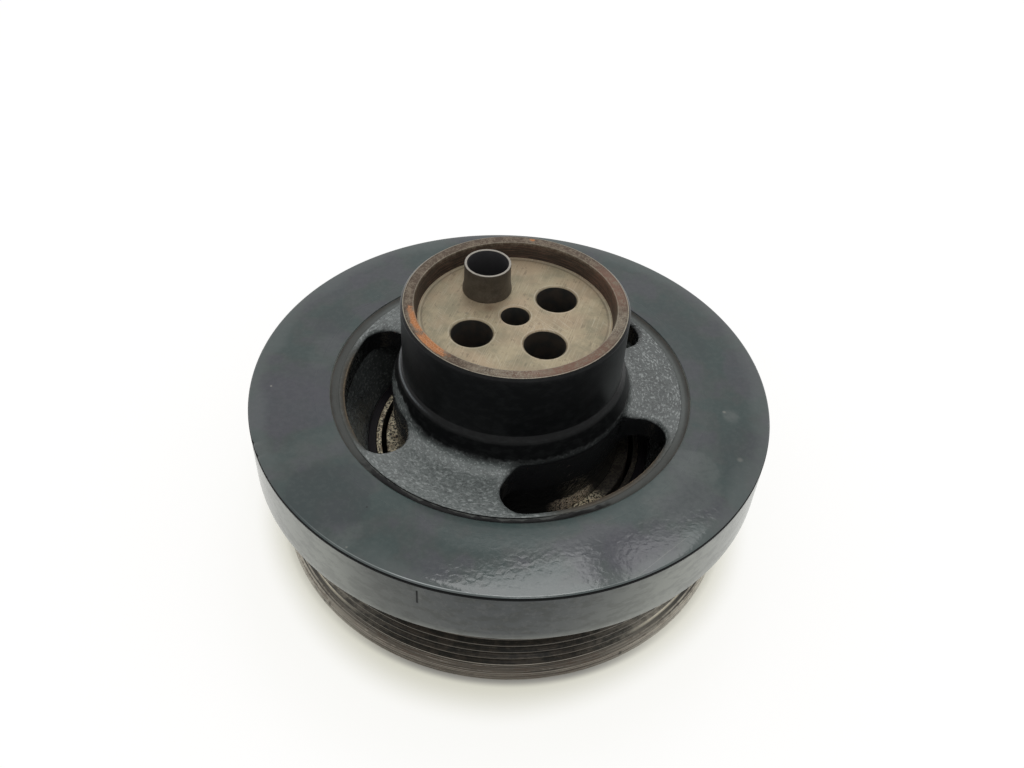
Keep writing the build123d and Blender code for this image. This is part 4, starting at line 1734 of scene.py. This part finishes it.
@dataclass(frozen=True)
class Damper:
    """The inertia ring and the rubber track that carries it on the hub's rim.

    Attributes:
        ring_segments: Steps round the ring, and rubber_segments those round its rubber.
        chips: Angles of the chips in the ring's upper edge, each with its half-angle and depth.
        nick: Angle, foot and top of the notch in the ring's outer wall.
        nick_size: Half-angle and depth of that notch.
        hollow: How far both faces of the rubber sag between the metal.
        bare: Angle of the middle of the stretch that no paint bridges.
        bridge: How far paint lifts the rubber's top elsewhere.
    """

    ring_bore: float = 59.2
    ring_radius: float = 85.0
    bottom: float = 34.06
    top: float = 54.06
    edge: float = 0.75
    rubber_bore: float = 56.5
    rubber_bottom: float = 34.96
    inner_top: float = 52.46
    outer_top: float = 53.16
    hollow: float = 0.35
    bare: float = 250.0
    bridge: float = 0.55
    chips: tuple[Triple, ...] = (
        (203.7, 0.55, 0.55), (207.5, 0.6, 0.5), (214.0, 0.3, 0.2),
    )
    nick: Triple = (254.9, 45.2, 51.0)
    nick_size: Pair = (0.3, 0.12)
    ring_segments: int = 720
    rubber_segments: int = 360

    def build(self) -> None:
        """Makes the ring and its rubber."""
        body, band = 0, 1
        ring = turned([
            Corner(self.ring_bore, self.bottom, 0.6, body), Corner(self.ring_radius, self.bottom, 0.6, body),
            Corner(self.ring_radius, self.top - self.edge - 0.4, 0.0, band),
            Corner(self.ring_radius, self.top, self.edge, body),
            Corner(self.ring_bore, self.top, 0.35, body),
        ], self.ring_segments, longest=2.5)
        skin = Skin.from_patches([ring])
        radius = radii(skin.points)
        dent = np.zeros(len(radius))
        for degrees, reach, depth in self.chips:
            nearby = np.exp(-(angle_from(skin.points, degrees) / reach) ** 2)
            corner = smooth(skin.points[:, 2], self.top - 1.4, self.top - 0.4) * smooth(radius, 83.6, 84.5)
            dent += depth * nearby * corner
        degrees, low, high = self.nick
        reach, depth = self.nick_size
        nearby = np.exp(-(angle_from(skin.points, degrees) / reach) ** 2)
        upright = plateau(skin.points[:, 2], (low - 1, low + 1), (high - 1, high + 1))
        dent += depth * nearby * smooth(radius, 84.8, 84.9) * upright
        skin.swell(-dent)
        as_piece(skin.piece("ring_casting", [RingPaint().make(), RingEdge().make()]),
                 "inertia_ring")

        turns = np.linspace(0, 1, 9)
        bore, outer = self.rubber_bore, self.ring_bore
        sag = 4 * self.hollow * turns * (1 - turns)
        top = [Corner(outer + (bore - outer) * t, self.outer_top + (self.inner_top - self.outer_top) * t - s)
               for t, s in zip(turns, sag)]
        under = [Corner(bore + (outer - bore) * t, self.rubber_bottom + s) for t, s in zip(turns, sag)]
        rubber = Skin.from_patches([turned([*under, *top], self.rubber_segments, longest=2.5)])
        radius = radii(rubber.points)
        soft = plateau(radius, (bore, bore + 0.9), (outer - 0.9, outer))
        bridged = smooth(np.abs(angle_from(rubber.points, self.bare)), 26.0, 44.0)
        bridged *= smooth(rubber.points[:, 2], 50.0, 52.0)
        rubber.points[:, 2] += self.bridge * bridged * (0.8 + 0.2 * soft)
        rubber.swell((LatticeNoise(15).at(rubber.points, 4.5) - 0.6) * 0.22 * soft)
        as_piece(rubber.piece("track_rubber", [TrackRubber().make()]), "damper_rubber")


@dataclass(frozen=True)
class Pulley:
    """The belt pulley: rim with V grooves between two flanges, web and journal tube.

    Attributes:
        segments: Steps round the axis.
        half_mouth: Half the width of a groove at the crests, and half_root that at its root.
        dent: Angle and height of the dent in the lower flange.
        dent_size: Its half-angle, half-height and depth.
    """

    bore: float = 69.0
    root: float = 73.0
    crest: float = 75.8
    flange: float = 78.2
    height: float = 31.56
    flange_width: float = 5.1
    flange_land: float = 3.1
    flange_edge: float = 0.7
    grooves: int = 6
    pitch: float = 3.56
    half_mouth: float = 1.555
    half_root: float = 0.536
    web_bottom: float = 5.0
    web_top: float = 9.0
    tube_bore: float = 43.6
    tube_radius: float = 45.45
    tube_top: float = 29.5
    dent: Pair = (219.8, 2.6)
    dent_size: Triple = (0.7, 1.2, 0.4)
    segments: int = 480

    def build(self) -> None:
        """Makes the pulley, with the small dent in its lower flange."""
        corners = [
            Corner(self.tube_bore, self.web_bottom, 0.3), Corner(self.bore, self.web_bottom, 0.2),
            Corner(self.bore, 0.0, 0.6), Corner(self.flange - self.flange_edge, 0.0, 0.2),
            Corner(self.flange, self.flange_edge, 0.2),
            Corner(self.flange, self.flange_edge + self.flange_land, 0.25),
        ]
        for groove in range(self.grooves):
            middle = self.flange_width + (groove + 0.5) * self.pitch
            corners += [
                Corner(self.crest, middle - self.half_mouth, 0.12),
                Corner(self.root, middle - self.half_root, 0.2),
                Corner(self.root, middle + self.half_root, 0.2),
                Corner(self.crest, middle + self.half_mouth, 0.12),
            ]
        high = self.height - self.flange_edge
        corners += [
            Corner(self.flange, high - self.flange_land, 0.25), Corner(self.flange, high, 0.2),
            Corner(self.flange - self.flange_edge, self.height, 0.2), Corner(self.bore, self.height, 0.6),
            Corner(self.bore, self.web_top, 1.5), Corner(self.tube_radius, self.web_top, 0.3),
            Corner(self.tube_radius, self.tube_top, 0.3, 1), Corner(self.tube_bore, self.tube_top, 0.3),
        ]
        skin = Skin.from_patches([turned(corners, self.segments, longest=3.0, step=30.0)])
        (degrees, level), (reach, rise, depth) = self.dent, self.dent_size
        round_axis, up = angle_from(skin.points, degrees) / reach, (skin.points[:, 2] - level) / rise
        nearby = np.exp(-round_axis ** 2 - up ** 2)
        skin.swell(-depth * nearby * smooth(radii(skin.points), self.crest, self.flange - 0.3))
        tube_end = PittedSteel("pitted_journal").make()
        as_piece(skin.piece("grooved_pulley", [GroovedSteel().make(), tube_end]), "pulley")


@dataclass(frozen=True)
class Bearing:
    """What holds the pulley on the hub: bush, retaining ring and the rings left as they are.

    Attributes:
        segments: Steps round the axis.
        sheet: Finish of the rings of sheet steel.
    """

    bush_bore: float = 45.5
    bush_radius: float = 48.3
    bush_foot: float = 9.0
    bush_shoulder: float = 11.0
    flange_radius: float = 53.0
    tube_top: float = 29.5
    barrel: float = 38.0
    retaining_radius: float = 42.0
    retaining_foot: float = 1.2
    retaining_shoulder: float = 3.6
    segments: int = 360
    sheet: OiledSteel = OiledSteel("sheet_steel", steel=(0.36, 0.32, 0.26), oil=(0.07, 0.055, 0.04),
                                   rust=(0.12, 0.065, 0.035))

    def build(self, nodes: dict[str, bpy.types.Object]) -> None:
        """Makes the bush and the retaining ring, and finishes the rings carried over.

        Args:
            nodes: The CAD nodes by name.
        """
        polymer = WornPolymer().make()
        bush = turned([
            Corner(self.bush_bore, self.bush_foot, 0.3), Corner(self.flange_radius, self.bush_foot, 0.3),
            Corner(self.flange_radius, self.bush_shoulder, 0.3),
            Corner(self.bush_radius, self.bush_shoulder, 0.15),
            Corner(self.bush_radius, self.tube_top, 0.3), Corner(self.bush_bore, self.tube_top, 0.3),
        ], self.segments)
        as_piece(Skin.from_patches([bush]).piece("flanged_bush", [polymer]), "bearing_bush")
        ring = turned([
            Corner(self.barrel, self.retaining_foot, 0.5),
            Corner(self.flange_radius, self.retaining_foot, 0.5),
            Corner(self.flange_radius, self.retaining_shoulder, 0.5),
            Corner(self.retaining_radius, self.retaining_shoulder, 0.2),
            Corner(self.retaining_radius, self.tube_top, 0.5),
            Corner(self.barrel, self.tube_top, 0.2),
        ], self.segments)
        as_piece(Skin.from_patches([ring]).piece("flanged_ring", [PittedSteel().make()]),
                 "retaining_ring")
        steel, rubber = self.sheet.make(), SpringRubber().make()
        for name, material in {"thrust_ring": polymer, "carrier_ring": steel, "shell_ring": steel,
                               "decoupling_rubber": rubber}.items():
            for slot in nodes[name].material_slots:
                slot.material = material
            log.info("%s: carried over with %s", name, material.name)


@dataclass(frozen=True)
class Sleeve:
    """The locating sleeve that stands in one of the bolt holes.

    Attributes:
        axis: Where it stands, as x and y.
        segments: Steps round it.
        neck: Radius and height where its taper ends.
        end: Radius and height of its upper end.
    """

    axis: Pair = (-9.517, 12.862)
    bore: float = 6.6
    radius: float = 7.9
    foot: float = 74.36
    shoulder: float = 82.9
    neck: Pair = (7.45, 86.0)
    end: Pair = (7.35, 92.46)
    segments: int = 120

    def build(self) -> None:
        """Makes the sleeve."""
        tube = turned([
            Corner(self.bore, self.foot, 0.2), Corner(self.radius, self.foot, 0.2),
            Corner(self.radius, self.shoulder, 2.0), Corner(*self.neck, 5.0), Corner(*self.end, 0.2),
            Corner(self.bore, self.end[1], 0.2),
        ], self.segments, centre=self.axis)
        as_piece(Skin.from_patches([tube]).piece("dowel_sleeve", [SleeveSteel(axis=self.axis).make()]),
                 "locating_sleeve")


# ---------------------------------------------------------------------------------- studio
def direction(azimuth: float, elevation: float) -> Vector:
    """The direction (sin a cos e, cos a cos e, sin e) for an azimuth a from +Y and an elevation e."""
    level = math.cos(elevation)
    return Vector((math.sin(azimuth) * level, math.cos(azimuth) * level, math.sin(elevation)))


@dataclass(frozen=True)
class Lamp:
    """A soft lamp high over the part, whose lower edge runs between two directions from the ring.

    Attributes:
        edge: Both ends of the lower edge, as azimuth and elevation in degrees.
        height: How far the lamp reaches up from it, in metres.
        radiance: How bright it is, with the white surroundings as 1.
    """

    edge: tuple[Pair, Pair]
    height: float
    radiance: float

    DISTANCE = 1.6
    TARGET = Vector((0.0, -0.06, 0.054))

    def build(self) -> None:
        """Makes the lamp, facing the ring."""
        low, high = (self.TARGET + self.DISTANCE * direction(*map(math.radians, end)) for end in self.edge)
        back = ((low + high) / 2 - self.TARGET).normalized()
        across = (high - low).normalized()
        down = back.cross(across)
        data = bpy.data.lights.new("soft_lamp", "AREA")
        data.shape, data.size, data.size_y = "RECTANGLE", (high - low).length, self.height
        data.energy = self.radiance * math.pi * data.size * self.height
        place = Matrix.Translation((low + high) / 2 - down * (self.height / 2))
        placed("soft_lamp", data, place @ Matrix((across, down, back)).transposed().to_4x4())


def seen_rays(tree: bpy.types.NodeTree, *names: str) -> Field:
    """1 for rays of the named kinds, 0 for others."""
    path = tree.nodes.new("ShaderNodeLightPath")
    return reduce(Field.most, (Field(tree, path.outputs[name]) for name in names))


@dataclass(frozen=True)
class Studio:
    """Camera, pale floor, white surroundings and the soft lamps.

    Attributes:
        place: Where the camera stands, in millimetres.
        pitch: How far it looks down, in radians.
        yaw: How far it is turned from +Y towards +X.
        roll: How far it leans.
        lens: Its focal length.
        sensor: Width of its sensor.
        sky: Brightness of the surroundings as a light, with their looks as 1.
        shadow_zone_floor: Colour of the floor by the part, and what it gives off in shadow_zone_glow, less
            than far_glow so that a painted shadow lies round the part.
        far_floor: Colour of the floor elsewhere, and what it gives off in far_glow.
        contact_shadow_glow: What it gives off where the part touches it: almost nothing, a painted contact
            shadow.
        floor_half: Half the floor's side, in metres.
        shadow_reach: Radius of the shadow about the axis.
        front_reach: How much further it reaches in front.
        foot: Radius of the part's foot on the floor.
        cover: Radius within which the part hides the floor.
    """

    place: Triple = (0.0, -235.112, 273.832)
    pitch: float = 0.753965
    yaw: float = 0.001485
    roll: float = 0.062228
    lens: float = 34.1716
    sensor: float = 36.0
    sky: float = 0.64
    shadow_zone_floor: Colour = (0.56, 0.55, 0.53)
    shadow_zone_glow: Colour = (0.40, 0.395, 0.32)
    far_floor: Colour = (0.24, 0.24, 0.32)
    far_glow: Colour = (0.83, 0.826, 0.76)
    contact_shadow_glow: Colour = (0.03, 0.03, 0.02)
    floor_half: float = 3.0
    shadow_reach: float = 83.0
    front_reach: float = 4.0
    foot: float = 79.6
    cover: float = 75.0
    lamps: tuple[Lamp, ...] = (
        Lamp(((-9.0, 56.1), (9.5, 52.3)), 0.5, 3.4), Lamp(((13.0, 51.8), (21.0, 48.6)), 0.5, 2.2),
        Lamp(((150.0, 60.0), (172.0, 60.0)), 0.4, 6.0),
    )

    def camera(self) -> None:
        """Makes the camera.

        It looks along f = (sin yaw cos pitch, cos yaw cos pitch, -sin pitch), and its right and up
        turn about f by the roll.
        """
        data = bpy.data.cameras.new("camera")
        data.lens, data.sensor_width = self.lens, self.sensor
        data.clip_start, data.clip_end = 0.01, 20.0
        forward = direction(self.yaw, -self.pitch)
        level = Vector((math.cos(self.yaw), -math.sin(self.yaw), 0.0))
        upright = level.cross(forward)
        right = math.cos(self.roll) * level + math.sin(self.roll) * upright
        up = -math.sin(self.roll) * level + math.cos(self.roll) * upright
        turned_to = Matrix((right, up, -forward)).transposed().to_4x4()
        bpy.context.scene.camera = placed(
            "camera", data, Matrix.Translation(Vector(self.place) * MM) @ turned_to)

    def surroundings(self) -> None:
        """Makes the world: white where it is seen or mirrored, plain light elsewhere."""
        world = bpy.data.worlds.new("surroundings")
        bpy.context.scene.world = world
        world.use_nodes = True
        tree = world.node_tree
        seen = seen_rays(tree, "Is Camera Ray", "Is Glossy Ray", "Is Transmission Ray")
        strength = seen * (1 - self.sky) + self.sky
        background = tree.nodes["Background"]
        background.inputs["Color"].default_value = (1.0, 1.0, 1.0, 1.0)
        tree.links.new(strength.socket, background.inputs["Strength"])

    def ground(self) -> None:
        """Makes the pale floor, which keeps the shadow and is a little lighter where it is seen; by the part
        it gives off less, as a painted shadow.
        """
        half = self.floor_half
        square = [(-half, -half, 0), (half, -half, 0), (half, half, 0), (-half, half, 0)]
        mesh = bpy.data.meshes.new("floor")
        mesh.from_pydata(square, [], [(0, 1, 2, 3)])
        coat = Coat("floor")
        seen = seen_rays(coat.tree, "Is Camera Ray", "Is Glossy Ray")
        coat.tree.links.new(seen.socket, coat.shader.inputs["Emission Strength"])
        # Painted shadow: by the part, and further in front, the floor gives off less.
        front = coat.side(262.0, 26.0, 22.0)
        away = (coat.radius() - front * self.front_reach).above(self.shadow_reach, 7.5)
        lit_side = coat.side(272.0, 32.0, 16.0).flip() * coat.radius().above(self.cover, 1.5)
        # Painted contact shadow where the part stands on the floor, fainter on the lit side.
        contact_shadow = coat.radius().below(self.foot, 1.3) * (lit_side * -0.7 + 0.96)
        glow = coat.mix(contact_shadow, coat.mix(away, self.shadow_zone_glow, self.far_glow), self.contact_shadow_glow)
        coat.tree.links.new(glow, coat.shader.inputs["Emission Color"])
        coat.colour = coat.mix(away, self.shadow_zone_floor, self.far_floor)
        mesh.materials.append(coat.finish(0.9, 0.0, 0.0))
        floor = placed("floor", mesh)

    def build(self) -> None:
        """Makes the whole studio."""
        self.camera()
        self.surroundings()
        for lamp in self.lamps:
            lamp.build()
        self.ground()


def main() -> None:
    logging.basicConfig(level=logging.INFO, format="%(message)s")
    bpy.context.scene.view_settings.view_transform = "Standard"
    Studio().build()
    Hub().build()
    Damper().build()
    Pulley().build()
    Bearing().build(frame["nodes"])
    Sleeve().build()


if __name__ == "__main__":
    main()
